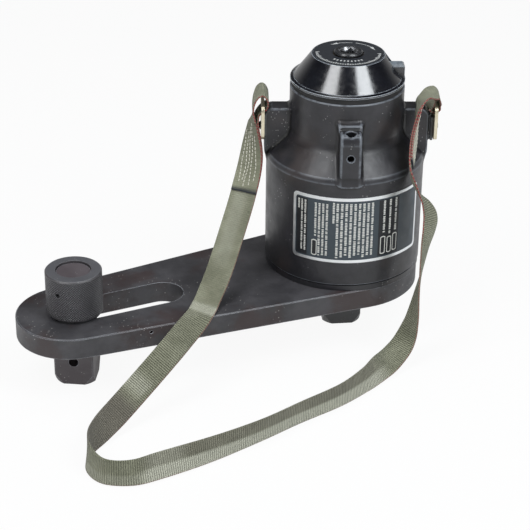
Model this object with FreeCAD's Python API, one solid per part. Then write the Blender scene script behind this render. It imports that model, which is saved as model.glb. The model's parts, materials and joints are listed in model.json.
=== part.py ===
import FreeCAD, Part
import math
import os

# Geared torque multiplier with a slotted reaction bar, sizes in millimetres.
# The origin is the centre of the output square's end face on the tool's axis,
# +Z runs up to the input square and the reaction bar reaches along -X.

V = FreeCAD.Vector
UP = V(0, 0, 1)

# Fits and clearances
SEAT = 0.03          # radial clearance of pieces that are assembled for good
RUN = 0.06           # radial clearance of running fits
FACE_GAP = 0.15      # gap between flat faces that slide or turn on each other
INNER_GAP = 0.6      # axial room beside gears and shafts
TOOTH_PLAY = 0.08    # metal taken off each flank of an outside tooth
RING_PLAY = 0.14     # extra room at each flank of an inside tooth

# Square drives
SQUARE = 38.1                 # output and reaction squares, across flats
SQUARE_TURNED_R = 26.2        # turned corners of both squares
NOSE_R = 21.6                 # end circle of the tapered nose
NOSE_HEIGHT = 10.0
INPUT_SQUARE = 12.7
INPUT_SQUARE_DEPTH = 17.0
CROSS_HOLE_R = 4.75           # retaining hole across each square
CROSS_HOLE_Z = 24.7

# Replaceable output square and the cap screw that holds it
DRIVE_TURN = -18.9            # square's turn about the tool's axis, degrees
DRIVE_WAIST_Z = 41.0
DRIVE_WAIST_HEIGHT = 5.0
DRIVE_WAIST_R = 17.8
DRIVE_IN_SOCKET = 34.0        # length of the square inside the output carrier
DRIVE_SCREW_R = 5.0
DRIVE_SCREW_GRIP = 22.0       # square's floor under the screw head
DRIVE_SCREW_THREAD = 9.0      # thread length in the carrier
SCREW_HEAD_R = 7.8
SCREW_HEAD_HEIGHT = 10.0
SCREW_HEAD_ROOM = 0.5
HEX_KEY = 8.0                 # across the flats of the key socket

# Reaction bar
BAR_BOTTOM = 49.0
BAR_THICK = 21.5
BAR_END_X = 291.5             # centre of the bar's rounded outer end
BAR_END_R = 53.0
BAR_EDGE_BREAK = 0.9
BAR_HEAD_INSET = 1.3          # bar head's radius is smaller than the case by this
SLOT_HALF_WIDTH = 20.7
SLOT_TRAVEL = 94.3            # between the centres of the slot's two ends
SLOT_CHAMFER = 0.8
TOOLING_HOLE_R = 1.6
TOOLING_HOLE_X = 232.0
TOOLING_HOLE_DEPTH = 6.0
TOOLING_HOLE_FROM_TOP = 5.5

# Reaction post and its knurled nut
POST_FROM_END = 4.2           # post as clamped, inwards of the slot's outer end
POST_TURN = -30.4             # the square as left in the slot, degrees
SHANK_R = 16.9
POST_SHANK_PLAY = 0.1
COLLAR_DROP = 1.0             # collar in the slot ends this far below the bar's top
WASHER_THICK = 2.0
WASHER_R = 25.0
NUT_R = 27.15
NUT_HEIGHT = 43.6
NUT_EDGE = 1.2
NUT_RECESS = 2.0              # shank ends this far below the nut's top
NUT_SCREW_R = 2.4
NUT_SCREW_LENGTH = 7.0
NUT_SCREW_SINK = 0.5
NUT_SCREW_TURN = -143.9
NUT_SCREW_DROP = 16.0         # below the nut's top face

# Planetary stages: module, teeth and face width
PRESSURE_ANGLE = math.radians(25)
SUN_TEETH = 15
PLANET_TEETH = 24
RING_TEETH = SUN_TEETH + 2 * PLANET_TEETH
PLANETS = 3
FIRST_MODULE = 1.25
SECOND_MODULE = 1.75
FIRST_FACE = 20.0
SECOND_FACE = 38.0
FIRST_PIN_R = 5.0
SECOND_PIN_R = 8.0
FIRST_RING_WALL = 7.0         # outside the root of the teeth
SECOND_RING_WALL = 5.7
CARRIER_RIM_GAP = 0.9         # carrier plates stay inside the ring's teeth by this

# Case
CASE_WALL = 14.9              # body wall, thick enough for the bar screws
NECK_WALL = 7.8
BASE_RING_THICK = 5.5
BASE_RING_INSET = 0.6
SPIGOT_HEIGHT = 6.0
GROOVE_HEIGHT = 1.5
GROOVE_DEPTH = 1.6
BODY_TOP = 188.0              # rim where the shoulder starts
BODY_RIM_BREAK = 1.2
SHOULDER_TOP = 206.5
SHOULDER_STEP = 4.6           # shoulder's upper edge lies this far outside the neck
NECK_FILLET = 8.0
NECK_TOP = 258.0
NECK_EDGE = 0.8
NECK_LEDGE_Z = 192.0          # ledge that carries the first ring gear
NECK_LEDGE_WIDTH = 4.0
NECK_LEDGE_THICK = 6.0
CAVITY_NECKING = 12.0         # height of the cavity's sloped roof

# Ribs and lugs cast on the neck
RIB_TURN = -114.0             # direction of the front rib, degrees
RIB_WIDTH = 20.5
RIB_TOP = 235.5
RIB_EDGE = 2.5
RIB_NOSE_DROP = 5.5
RIB_NOSE_RUN = 4.0
RIB_FOOT_DROP = 4.0           # below the body's rim
LEDGE_WIDTH = 25.6
LEDGE_RISE = 5.0
LEDGE_REACH = 8.2             # from the neck outwards
SOCKET_R = 5.0                # socket for a handle in the front and rear ribs
SOCKET_FROM_NECK = 13.8
SOCKET_DEPTH = 34.0
SOCKET_PIN_R = 3.25
SOCKET_PIN_DROP = 23.0
LUG_REACH = 2.4               # strap lugs stand out of the body by this
LUG_FOOT_DROP = 3.5
LUG_FOOT_SLOPE = 10.0
PAD_REACH = 2.0               # machined pad on the right lug
PAD_HEIGHT = 27.0
LUG_TOP_BREAK = 5.0           # room for the webbing behind a plate's slot

# Strap plates
PLATE_WIDTH = 38.0
PLATE_HEIGHT = 35.0
PLATE_THICK = 3.2
PLATE_CORNER = 6.0
PLATE_BOTTOM = 205.0
PLATE_SLOT_WIDTH = 28.5
PLATE_SLOT_HEIGHT = 7.0
PLATE_SLOT_FROM_TOP = 3.5
SPACER_THICK = 2.4
SPACER_HEIGHT = 24.0
STRAP_SCREW_Z = 214.0
STRAP_SCREW_R = 3.0
STRAP_SCREW_HEAD_R = 4.6
STRAP_SCREW_HEAD = 2.6
STRAP_SCREW_LENGTH = 14.0

# Bearings, seals and plates inside
SPINDLE_R = 30.0
BUSH_WALL = 4.0
BUSH_FLANGE_R = 42.0
BUSH_FLANGE = 2.0
BUSH_FOOT_Z = 59.0
SEAL_R = 38.0
SEAL_HEIGHT = 7.0
SEAL_FROM_BOTTOM = 1.2
SEAL_LIP = 0.4
CARRIER2_PLATE = 15.0
CARRIER2_TOP_PLATE = 12.0
JOURNAL_R = 26.0
JOURNAL_HEIGHT = 9.0
JOURNAL_BORE_R = 16.0
STAGE_PLATE_THICK = 8.0
THRUST_WASHER = 1.8
CARRIER1_PLATE = 8.0
CARRIER1_TOP_PLATE = 7.0
HUB_R = 17.0
HUB_SHAFT_R = 11.0
HUB_FLANGE_R = 24.0
HUB_FLANGE = 5.0
HUB_SHAFT_LENGTH = 14.0
WEB_R1 = 5.5
WEB_R2 = 9.0
INPUT_PLATE_THICK = 10.0
INPUT_SHAFT_R = 9.0
INPUT_BUSH_WALL = 4.0
SUN_NECK_R = 7.4              # between the first sun and the journal

# Ratchet and its selector
WHEEL_R = 25.0
WHEEL_TEETH = 24
WHEEL_TOOTH = 2.6
WHEEL_THICK = 10.0
WHEEL_BOSS_R = 13.5
SEAT_R = 12.0
WHEEL_LIFT = 4.0              # ratchet wheel above the input plate
SELECTOR_TURN_OFFSET = 90.0   # selector sits above the right lug
SELECTOR_WALL_GAP = 0.57      # between the pawl's hub and the neck's bore
SELECTOR_SPINDLE_R = 3.0
SELECTOR_SPINDLE_FOOT = 5.0   # how deep it stands in the input plate
SELECTOR_SWING = 8.0          # degrees each way
PAWL_THICK = 8.0
PAWL_HUB_R = 5.4
PAWL_TIP_TURN = 27.0          # tips lie this far either side, seen from the axis
PAWL_TIP_GAP = 0.3            # a tip stops this far short of the wheel
PAWL_ARM = 5.0
LEVER_WIDTH = 13.0
LEVER_RISE = 14.1             # above the cover's flange
LEVER_REACH = 54.6
LEVER_EDGE = 2.0
LEVER_PLAY = 0.5

# Ratchet cover
COVER_SEAL_THICK = 5.4
COVER_SEAL_INSET = 1.5
COVER_LIP_THICK = 2.0
COVER_LIP_BREAK = 1.0
CONE_FOOT_R = 52.4
CONE_TOP_R = 35.5
CONE_RISE = 23.9              # above the flange
COVER_SPIGOT = 6.0
COVER_SPIGOT_WALL = 11.0
COVER_ROOF = 12.3
COVER_ROOF_R = 29.0
COVER_BUSH_WALL = 3.0
HUB_HEAD_R = 14.0
HUB_HEAD_RISE = 3.3           # above the cone's flat top
HUB_HEAD_EDGE = 1.3
SNAP_RING_THICK = 1.4
SNAP_RING_R = 16.0
SNAP_GROOVE = 0.8

# Plates fixed on the outside
DISC_R = 34.0
DISC_BORE_R = 15.2
DISC_THICK = 0.5
LABEL_BOTTOM = 102.0
LABEL_HEIGHT = 69.5
LABEL_FROM = -155.8
LABEL_TO = -53.2
LABEL_THICK = 0.6
LABEL_CORNER = 4.0

# Carrying strap of webbing, left as it was laid down round the tool
STRAP_WIDTH = 25.4
STRAP_THICK = 1.8
STRAP_LAP_GAP = 0.2           # between the two layers of a sewn lap
STRAP_STEP_COUNT = 3          # sections from one station to the next
LEFT_LAP_COUNT = 3            # stations covered by the sewn lap at each end
RIGHT_LAP_COUNT = 4
RIGHT_LAP_SKIP = 2            # stations between the right lap and the plate

# Stations of the strap: its middle, then the way towards its plain edge.
# The other edge has the coloured thread and is the one that stands on the floor.
STRAP_DOWN = (
    ((-84.8, 31.8, 218), (1, 12, -4)),
    ((-93, 20, 185), (-8, 10, 0)),
    ((-110, 3, 156), (-10, 7, 3)),
    ((-130, -15, 128), (-10, 6, 4)),
    ((-150, -31, 99), (-10, 7, 4)),
    ((-165, -41, 80), (-9, 9, 2)),
)
STRAP_OVER_BAR = (            # heights above the bar's top face
    ((-174, -50, 4.5), (-9, 9, 2)),
    ((-185, -61, 2), (-8, 9, 3)),
    ((-193, -66, -1.5), (-8, 8, 5)),
    ((-202, -71, -5.5), (-7, 7, 7)),
)
STRAP_TO_FLOOR = (
    ((-222, -82, 56), (-7, 7, 7)),
    ((-254, -92, 35), (-7, 8, 7)),
    ((-286, -105, 18), (-7, 8, 8)),
    ((-307, -119, 13.5), (-5, 5, 11)),
    ((-324, -137, 13.3), (-3, 2, 12)),
)
STRAP_ON_FLOOR = (
    ((-332, -160, 13.3), (1, 0, 13)),
    ((-327, -183, 13.3), (0, 0, 13)),
    ((-307, -195, 13.3), (0, 2, 13)),
    ((-282, -195, 13.3), (0, 5, 12)),
    ((-231, -191, 13.3), (0, 2, 13)),
    ((-181, -183, 13.3), (0, -1, 13)),
    ((-131, -170, 13.3), (0, -1, 13)),
    ((-81, -158, 13.3), (0, -1, 13)),
    ((-46, -143, 13.3), (0, 1, 13)),
)
STRAP_UP = (
    ((-24, -130, 12.5), (-4, 7, 9)),
    ((-5, -118, 11), (-6, 11, 3)),
    ((13, -110, 21), (-5, 12, 1)),
    ((23, -108, 42), (0, 13, -1)),
    ((30, -106, 79), (6, 11, -1)),
    ((35, -105, 117), (9, 8, -1)),
    ((39, -105, 142), (11, 5, -2)),
    ((40, -102, 154), (11, 6, -2)),
    ((38, -96, 164), (9, 8, -4)),
    ((33.5, -89, 172.5), (6, 9, -6)),
    ((29.7, -84.8, 183.8), (4.5, 9.5, -7)),
    ((29, -79, 195.5), (6, 9, -7)),
    ((40.5, -62, 215.5), (7, 7, -7)),
    ((50, -51, 236.6), (4, 10, -7)),
    ((58, -45, 245.5), (2, 12, -4)),
    ((67, -42, 249), (0, 13, -2)),
)

# Loops through the plates: out from the plate's face, along it, and up from its top
STRAP_LEFT_LOOP = ((7.6, 4, -15), (7.8, 2, -7), (6.8, 1.5, 1), (3.5, 1, 7), (-1.5, 0.5, 9),
                   (-5.9, 0.5, 4.5), (-6.5, 0.5, -1), (-5.0, 0.5, -4.8), (-1.6, 0.5, -7), (3.3, 1.5, -12.8))
STRAP_RIGHT_LOOP = ((-2.9, -4.5, 10.8), (2.6, -2, 8.5), (5.1, -1, 2), (3.1, -0.5, -5),
                    (-1.6, 0, -7.4), (-6, -0.5, -6.5), (-11.5, -1.5, -1.2))
# From the right loop back under the strap to its lap
STRAP_TUCK = (
    ((63.2, -38, 243.8), (0, 11, -1)),
    ((59.4, -42.4, 244), (0, 11, -3)),
    ((54.9, -47.3, 241.4), (1.5, 10, -6)),
)

# Screws that hold the bar to the case
BAR_SCREWS = 8
BAR_SCREW_R = 4.0
BAR_SCREW_HEAD_R = 6.5
BAR_SCREW_HEAD = 8.0
BAR_SCREW_THREAD = 14.0
BAR_SCREW_FROM_BORE = 6.0
BAR_SCREW_KEY = 6.0
BAR_SCREW_PLAY = 0.25


class Stage:
    """Radii of one planetary stage, all worked out from its module."""

    def __init__(self, module, face, pin_r, ring_wall):
        self.module = module
        self.face = face
        self.pin_r = pin_r
        self.orbit = module * (SUN_TEETH + PLANET_TEETH) / 2
        self.ring_tip = module * (RING_TEETH / 2 - 1)
        self.ring_root = module * (RING_TEETH / 2 + 1.25)
        self.ring_out = self.ring_root + ring_wall
        self.plate_r = self.ring_tip - CARRIER_RIM_GAP


FIRST = Stage(FIRST_MODULE, FIRST_FACE, FIRST_PIN_R, FIRST_RING_WALL)
SECOND = Stage(SECOND_MODULE, SECOND_FACE, SECOND_PIN_R, SECOND_RING_WALL)

# Radii that follow from the stages
CASE_BORE = SECOND.ring_out + SEAT
CASE_R = CASE_BORE + CASE_WALL
NECK_BORE = FIRST.ring_out + SEAT
NECK_R = NECK_BORE + NECK_WALL
SELECTOR_R = NECK_BORE - SELECTOR_WALL_GAP - PAWL_HUB_R
BAR_HEAD_R = CASE_R - BAR_HEAD_INSET
BASE_RING_R = CASE_R - BASE_RING_INSET
BOLT_CIRCLE_R = CASE_BORE + BAR_SCREW_FROM_BORE
COLLAR_R = SLOT_HALF_WIDTH - POST_SHANK_PLAY
SLOT_INNER_X = BAR_END_X - SLOT_TRAVEL
POST_X = BAR_END_X - POST_FROM_END
LUG_R = CASE_R + LUG_REACH

# Heights that follow from one another, bottom to top
DRIVE_TOP = DRIVE_WAIST_Z + DRIVE_WAIST_HEIGHT + DRIVE_IN_SOCKET
BAR_TOP = BAR_BOTTOM + BAR_THICK
RING_TOP = BAR_TOP + BASE_RING_THICK
SPIGOT_TOP = RING_TOP + SPIGOT_HEIGHT
CARRIER2_Z = SPIGOT_TOP + BUSH_FLANGE + FACE_GAP
SECOND_Z = CARRIER2_Z + CARRIER2_PLATE + INNER_GAP
CARRIER2_TOP_Z = SECOND_Z + SECOND.face + INNER_GAP
JOURNAL_Z = CARRIER2_TOP_Z + CARRIER2_TOP_PLATE
JOURNAL_TOP = JOURNAL_Z + JOURNAL_HEIGHT
STAGE_PLATE_Z = JOURNAL_Z + INNER_GAP
STAGE_PLATE_TOP = STAGE_PLATE_Z + STAGE_PLATE_THICK
HUB_Z = JOURNAL_TOP + THRUST_WASHER + FACE_GAP
FIRST_Z = NECK_LEDGE_Z + CARRIER1_PLATE / 2 + INNER_GAP
CARRIER1_Z = FIRST_Z - INNER_GAP - CARRIER1_PLATE
CARRIER1_TOP_Z = FIRST_Z + FIRST.face + INNER_GAP
INPUT_PLATE_Z = CARRIER1_TOP_Z + CARRIER1_TOP_PLATE + INNER_GAP
INPUT_PLATE_TOP = INPUT_PLATE_Z + INPUT_PLATE_THICK
WHEEL_Z = INPUT_PLATE_TOP + WHEEL_LIFT
LIP_Z = NECK_TOP + COVER_SEAL_THICK
LIP_TOP = LIP_Z + COVER_LIP_THICK
LEVER_TOP_Z = LIP_TOP + LEVER_RISE
CONE_TOP_Z = LIP_TOP + CONE_RISE
HUB_HEAD_TOP = CONE_TOP_Z + HUB_HEAD_RISE
ROOF_Z = CONE_TOP_Z - COVER_ROOF
NUT_Z = BAR_TOP + WASHER_THICK + 2 * FACE_GAP
NUT_TOP = NUT_Z + NUT_HEIGHT


def cylinder(r, z0, z1, x=0.0, y=0.0):
    return Part.makeCylinder(r, z1 - z0, V(x, y, z0))


def tube(r_out, r_in, z0, z1, x=0.0, y=0.0):
    """A ring; the bore is cut with some length to spare."""
    return cylinder(r_out, z0, z1, x, y).cut(cylinder(r_in, z0 - 1, z1 + 1, x, y))


def radial_rod(r, start, end, z, turn):
    """A cylinder along a horizontal line through the axis."""
    rod = Part.makeCylinder(r, end - start, V(start, 0, z), V(1, 0, 0))
    return turned(rod, turn)


def turned(shape, degrees, x=0.0, y=0.0):
    """A copy turned about a vertical line."""
    copy = shape.copy()
    copy.rotate(V(x, y, 0), UP, degrees)
    return copy


def revolved(points):
    """A full turn of a closed outline of (radius, height) points."""
    wire = Part.makePolygon([V(r, 0, z) for r, z in points + points[:1]])
    return Part.Face(wire).revolve(V(0, 0, 0), UP, 360)


def prism(points, z0, z1):
    """A flat outline of (x, y) points raised from z0 to z1."""
    wire = Part.makePolygon([V(x, y, z0) for x, y in points + points[:1]])
    return Part.Face(wire).extrude(V(0, 0, z1 - z0))


def slab(points, width):
    """An outline of (radius, height) points made width thick about y = 0."""
    wire = Part.makePolygon([V(r, -width / 2, z) for r, z in points + points[:1]])
    return Part.Face(wire).extrude(V(0, width, 0))


def hex_socket(r, length, z0, across):
    """A hexagonal key socket."""
    corner = across / math.sqrt(3)
    points = [polar(corner, 60 * i) for i in range(6)]
    return prism(points, z0, z0 + length).common(cylinder(r, z0, z0 + length))


def polar(r, degrees):
    a = math.radians(degrees)
    return (r * math.cos(a), r * math.sin(a))


def fused(shapes):
    shape = shapes[0]
    for other in shapes[1:]:
        shape = shape.fuse(other)
    return shape.removeSplitter()


def round_edges(shape, radius, wanted):
    """Fillets the edges for which wanted(edge) is true."""
    return shape.makeFillet(radius, [e for e in shape.Edges if wanted(e)])


def involute(angle):
    return math.tan(angle) - angle


def flank_half_angle(module, teeth, r, play):
    """Half of an outside tooth's angle at radius r, less the play."""
    pitch_r = module * teeth / 2
    at_r = math.acos(min(1.0, pitch_r * math.cos(PRESSURE_ANGLE) / r))
    return math.pi / (2 * teeth) + involute(PRESSURE_ANGLE) - involute(at_r) - play / pitch_r


def outside_gear(module, teeth, z0, z1, phase):
    """Involute teeth on a solid disc; phase is a tooth's direction in degrees."""
    pitch_r = module * teeth / 2
    tip_r = pitch_r + module
    root_r = pitch_r - 1.2 * module
    start_r = max(pitch_r * math.cos(PRESSURE_ANGLE), root_r) + 0.01
    middle_r = (start_r + tip_r) / 2
    radii = (start_r, middle_r, tip_r)
    halves = [flank_half_angle(module, teeth, r, TOOTH_PLAY) for r in radii]

    def at(r, angle):
        return V(r * math.cos(angle), r * math.sin(angle), z0)

    edges = []
    for i in range(teeth):
        centre = math.radians(phase) + 2 * math.pi * i / teeth
        up = [at(r, centre - h) for r, h in zip(radii, halves)]
        down = [at(r, centre + h) for r, h in zip(radii, halves)]
        foot_up = at(root_r, centre - halves[0])
        foot_down = at(root_r, centre + halves[0])
        foot_next = at(root_r, centre + 2 * math.pi / teeth - halves[0])
        edges.append(Part.makeLine(foot_up, up[0]))
        edges.append(Part.Arc(up[0], up[1], up[2]).toShape())
        edges.append(Part.makeLine(up[2], down[2]))
        edges.append(Part.Arc(down[2], down[1], down[0]).toShape())
        edges.append(Part.makeLine(down[0], foot_down))
        edges.append(Part.makeLine(foot_down, foot_next))
    return Part.Face(Part.Wire(edges)).extrude(V(0, 0, z1 - z0))


def ring_gear(stage, z0, z1):
    """Ring with inside teeth; a tooth points at the axis from direction 0."""
    pitch_r = stage.module * RING_TEETH / 2
    points = []
    for i in range(RING_TEETH):
        space = 2 * math.pi * (i + 0.5) / RING_TEETH
        for r, side in ((stage.ring_tip, -1), (stage.ring_root, -1),
                        (stage.ring_root, 1), (stage.ring_tip, 1)):
            half = flank_half_angle(stage.module, RING_TEETH, r, -RING_PLAY)
            angle = space + side * half
            points.append((r * math.cos(angle), r * math.sin(angle)))
    return cylinder(stage.ring_out, z0, z1).cut(prism(points, z0 - 1, z1 + 1))


def planet_turn(number):
    return 360.0 * number / PLANETS


def planet(stage, number, z0):
    """A planet in mesh: a tooth space faces the sun and the ring."""
    turn = planet_turn(number)
    gear = outside_gear(stage.module, PLANET_TEETH, z0, z0 + stage.face,
                        turn + 180.0 / PLANET_TEETH)
    gear = gear.cut(cylinder(stage.pin_r + RUN, z0 - 1, z0 + stage.face + 1))
    x, y = polar(stage.orbit, turn)
    gear.translate(V(x, y, 0))
    return gear


def planet_pins(stage, z0, z1):
    pins = []
    for i in range(PLANETS):
        x, y = polar(stage.orbit, planet_turn(i))
        pins.append(cylinder(stage.pin_r, z0, z1, x, y))
    return Part.makeCompound(pins)


def carrier_plates(stage, low, plate, top_low, top_plate, web_r):
    """Two plates joined by a web between each two planets, with pin holes."""
    body = [cylinder(stage.plate_r, low, low + plate),
            cylinder(stage.plate_r, top_low, top_low + top_plate)]
    web_at = stage.plate_r - web_r - CARRIER_RIM_GAP
    for i in range(PLANETS):
        x, y = polar(web_at, planet_turn(i + 0.5))
        body.append(cylinder(web_r, low + plate / 2, top_low + top_plate / 2, x, y))
    shape = fused(body)
    for i in range(PLANETS):
        x, y = polar(stage.orbit, planet_turn(i))
        shape = shape.cut(cylinder(stage.pin_r + SEAT, low + plate / 3, top_low + top_plate + 1, x, y))
    return shape


def square_prism(side, z0, z1):
    half = side / 2
    return prism([(-half, -half), (half, -half), (half, half), (-half, half)], z0, z1)


def turned_envelope(z0, z1, tapered_top):
    """Turned shape that trims a square's corners and tapers its nose."""
    points = [(0, z0), (NOSE_R, z0), (SQUARE_TURNED_R, z0 + NOSE_HEIGHT)]
    if tapered_top:
        points += [(SQUARE_TURNED_R, z1 - NOSE_HEIGHT / 2), (NOSE_R, z1)]
    else:
        points += [(SQUARE_TURNED_R, z1)]
    return revolved(points + [(0, z1)])


def output_square_drive():
    """Double-ended square with a waist, a screw hole and a cross hole."""
    shape = square_prism(SQUARE, 0, DRIVE_TOP).common(turned_envelope(0, DRIVE_TOP, True))
    waist_top = DRIVE_WAIST_Z + DRIVE_WAIST_HEIGHT
    shape = shape.cut(tube(SQUARE, DRIVE_WAIST_R, DRIVE_WAIST_Z, waist_top))
    floor = DRIVE_TOP - DRIVE_SCREW_GRIP
    shape = shape.cut(cylinder(SCREW_HEAD_R + SCREW_HEAD_ROOM, -1, floor))
    shape = shape.cut(cylinder(DRIVE_SCREW_R + SEAT, floor - 1, DRIVE_TOP + 1))
    cross = radial_rod(CROSS_HOLE_R, -SQUARE, SQUARE, CROSS_HOLE_Z, -90)
    return turned(shape.cut(cross), DRIVE_TURN)


def cap_screw(head_r, head, shank_r, head_z, tip_z, key):
    """Socket head cap screw, head downwards."""
    screw = fused([cylinder(head_r, head_z - head, head_z), cylinder(shank_r, head_z - 1, tip_z)])
    return screw.cut(hex_socket(head_r, head * 0.6 + 1, head_z - head - 1, key))


def drive_screw():
    seat = DRIVE_TOP - DRIVE_SCREW_GRIP
    return cap_screw(SCREW_HEAD_R, SCREW_HEAD_HEIGHT, DRIVE_SCREW_R, seat,
                     DRIVE_TOP + DRIVE_SCREW_THREAD, HEX_KEY)


def bar_outline():
    """Wire of the bar: two circles joined by their common tangents."""
    lean = math.asin((BAR_HEAD_R - BAR_END_R) / BAR_END_X)
    end_touch = math.degrees(math.pi / 2 + lean)
    head = [V(*polar(BAR_HEAD_R, a), BAR_BOTTOM) for a in (end_touch, 0, -end_touch)]
    tail = []
    for a in (end_touch, 180, -end_touch):
        x, y = polar(BAR_END_R, a)
        tail.append(V(x - BAR_END_X, y, BAR_BOTTOM))
    edges = [Part.Arc(head[0], head[1], head[2]).toShape(), Part.makeLine(head[2], tail[2]),
             Part.Arc(tail[2], tail[1], tail[0]).toShape(), Part.makeLine(tail[0], head[0])]
    return Part.Wire(edges)


def slot_cutter(grow, z0, z1):
    """Long slot with round ends, wider all round by grow."""
    r = SLOT_HALF_WIDTH + grow
    middle = prism([(-BAR_END_X, -r), (-SLOT_INNER_X, -r), (-SLOT_INNER_X, r), (-BAR_END_X, r)], z0, z1)
    return fused([middle, cylinder(r, z0, z1, -BAR_END_X), cylinder(r, z0, z1, -SLOT_INNER_X)])


def bolt_places():
    return [polar(BOLT_CIRCLE_R, 360.0 * (i + 0.5) / BAR_SCREWS) for i in range(BAR_SCREWS)]


def reaction_bar():
    """Flat bar with a long slot, bolted under the case."""
    shape = Part.Face(bar_outline()).extrude(V(0, 0, BAR_THICK))
    rims = [e for e in shape.Edges if e.BoundBox.ZLength < BAR_THICK / 2]
    shape = shape.makeChamfer(BAR_EDGE_BREAK, rims)
    shape = shape.cut(slot_cutter(0, BAR_BOTTOM - 1, BAR_TOP + 1))
    shape = shape.cut(cylinder(SPINDLE_R + BUSH_WALL + SEAT, BAR_BOTTOM - 1, BAR_TOP + 1))
    shape = shape.cut(cylinder(SEAL_R + SEAT, BAR_BOTTOM - 1, BUSH_FOOT_Z))
    for x, y in bolt_places():
        shape = shape.cut(cylinder(BAR_SCREW_R + BAR_SCREW_PLAY, BAR_BOTTOM - 1, BAR_TOP + 1, x, y))
        head_top = BAR_BOTTOM + BAR_SCREW_HEAD + SCREW_HEAD_ROOM
        head_r = BAR_SCREW_HEAD_R + BAR_SCREW_PLAY
        shape = shape.cut(cylinder(head_r, BAR_BOTTOM - 1, head_top, x, y))
    return shape.cut(tooling_hole())


def tooling_hole():
    """Small hole in the bar's front edge, square to that edge."""
    lean = math.asin((BAR_HEAD_R - BAR_END_R) / BAR_END_X)
    edge_r = BAR_HEAD_R / math.cos(lean) - TOOLING_HOLE_X * math.tan(lean)
    inward = V(-math.sin(lean), math.cos(lean), 0)
    mouth = V(-TOOLING_HOLE_X, -edge_r, BAR_TOP - TOOLING_HOLE_FROM_TOP) - inward
    return Part.makeCylinder(TOOLING_HOLE_R, TOOLING_HOLE_DEPTH + 1, mouth, inward)


def bar_screws():
    head_z = BAR_BOTTOM + BAR_SCREW_HEAD + SCREW_HEAD_ROOM
    one = cap_screw(BAR_SCREW_HEAD_R, BAR_SCREW_HEAD, BAR_SCREW_R, head_z,
                    RING_TOP + BAR_SCREW_THREAD, BAR_SCREW_KEY)
    screws = []
    for x, y in bolt_places():
        screw = one.copy()
        screw.translate(V(x, y, 0))
        screws.append(screw)
    return Part.makeCompound(screws)


def base_ring():
    """Bearing plate between the bar and the case, with a spigot in the bore."""
    shape = fused([cylinder(BASE_RING_R, BAR_TOP, RING_TOP),
                   cylinder(CASE_BORE - SEAT, RING_TOP - 1, SPIGOT_TOP)])
    shape = shape.cut(cylinder(SPINDLE_R + BUSH_WALL + SEAT, BAR_TOP - 1, SPIGOT_TOP + 1))
    for x, y in bolt_places():
        shape = shape.cut(cylinder(BAR_SCREW_R + BAR_SCREW_PLAY, BAR_TOP - 1, SPIGOT_TOP + 1, x, y))
    return shape


def output_bush():
    """Flanged bush that carries the output carrier."""
    inner = SPINDLE_R + RUN
    sleeve_r = SPINDLE_R + BUSH_WALL
    return revolved([(inner, BUSH_FOOT_Z), (sleeve_r, BUSH_FOOT_Z), (sleeve_r, SPIGOT_TOP),
                     (BUSH_FLANGE_R, SPIGOT_TOP), (BUSH_FLANGE_R, SPIGOT_TOP + BUSH_FLANGE),
                     (inner, SPIGOT_TOP + BUSH_FLANGE)])


def output_seal():
    """Rubber lip seal round the spindle, below the bush."""
    low = BAR_BOTTOM + SEAL_FROM_BOTTOM
    high = low + SEAL_HEIGHT
    lip = SPINDLE_R + SEAL_LIP
    return revolved([(lip, low), (SEAL_R, low), (SEAL_R, high), (SEAL_R - 3, high),
                     (SEAL_R - 3, low + 2.5), (lip + 2, low + 2.5)])


def output_carrier():
    """Second stage carrier: spindle with a square socket, plates and journal."""
    shape = carrier_plates(SECOND, CARRIER2_Z, CARRIER2_PLATE, CARRIER2_TOP_Z, CARRIER2_TOP_PLATE, WEB_R2)
    foot = DRIVE_WAIST_Z + DRIVE_WAIST_HEIGHT
    shape = fused([shape, cylinder(SPINDLE_R, foot, CARRIER2_Z + 1),
                   cylinder(JOURNAL_R, JOURNAL_Z - 1, JOURNAL_TOP)])
    shape = shape.cut(cylinder(JOURNAL_BORE_R, CARRIER2_TOP_Z - 1, JOURNAL_TOP + 1))
    socket = square_prism(SQUARE + 2 * SEAT, foot - 1, DRIVE_TOP + SEAT)
    socket = socket.common(cylinder(SQUARE_TURNED_R + SEAT, foot - 1, DRIVE_TOP + 1))
    shape = shape.cut(turned(socket, DRIVE_TURN))
    return shape.cut(cylinder(DRIVE_SCREW_R + SEAT, DRIVE_TOP, CARRIER2_Z + CARRIER2_PLATE + 1))


def second_planet_pins():
    return planet_pins(SECOND, CARRIER2_Z + CARRIER2_PLATE / 3, JOURNAL_Z)


def second_ring_gear():
    return ring_gear(SECOND, SPIGOT_TOP, STAGE_PLATE_Z)


def first_ring_gear():
    return ring_gear(FIRST, NECK_LEDGE_Z, INPUT_PLATE_Z)


def stage_plate():
    """Plate between the stages; its bush carries the carrier's journal."""
    return tube(CASE_BORE - SEAT, JOURNAL_R + BUSH_WALL + SEAT, STAGE_PLATE_Z, STAGE_PLATE_TOP)


def carrier_bush():
    return tube(JOURNAL_R + BUSH_WALL, JOURNAL_R + RUN, STAGE_PLATE_Z, STAGE_PLATE_TOP)


def carrier_thrust_washer():
    return tube(HUB_FLANGE_R, HUB_SHAFT_R + 1.5, JOURNAL_TOP, JOURNAL_TOP + THRUST_WASHER)


def second_sun():
    """Sun gear of the second stage on a shaft that stands in the first carrier."""
    gear = outside_gear(SECOND_MODULE, SUN_TEETH, SECOND_Z, SECOND_Z + SECOND.face, 0)
    neck = cylinder(HUB_SHAFT_R, SECOND_Z + SECOND.face - 1, HUB_Z + HUB_SHAFT_LENGTH)
    return fused([gear, neck])


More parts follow.
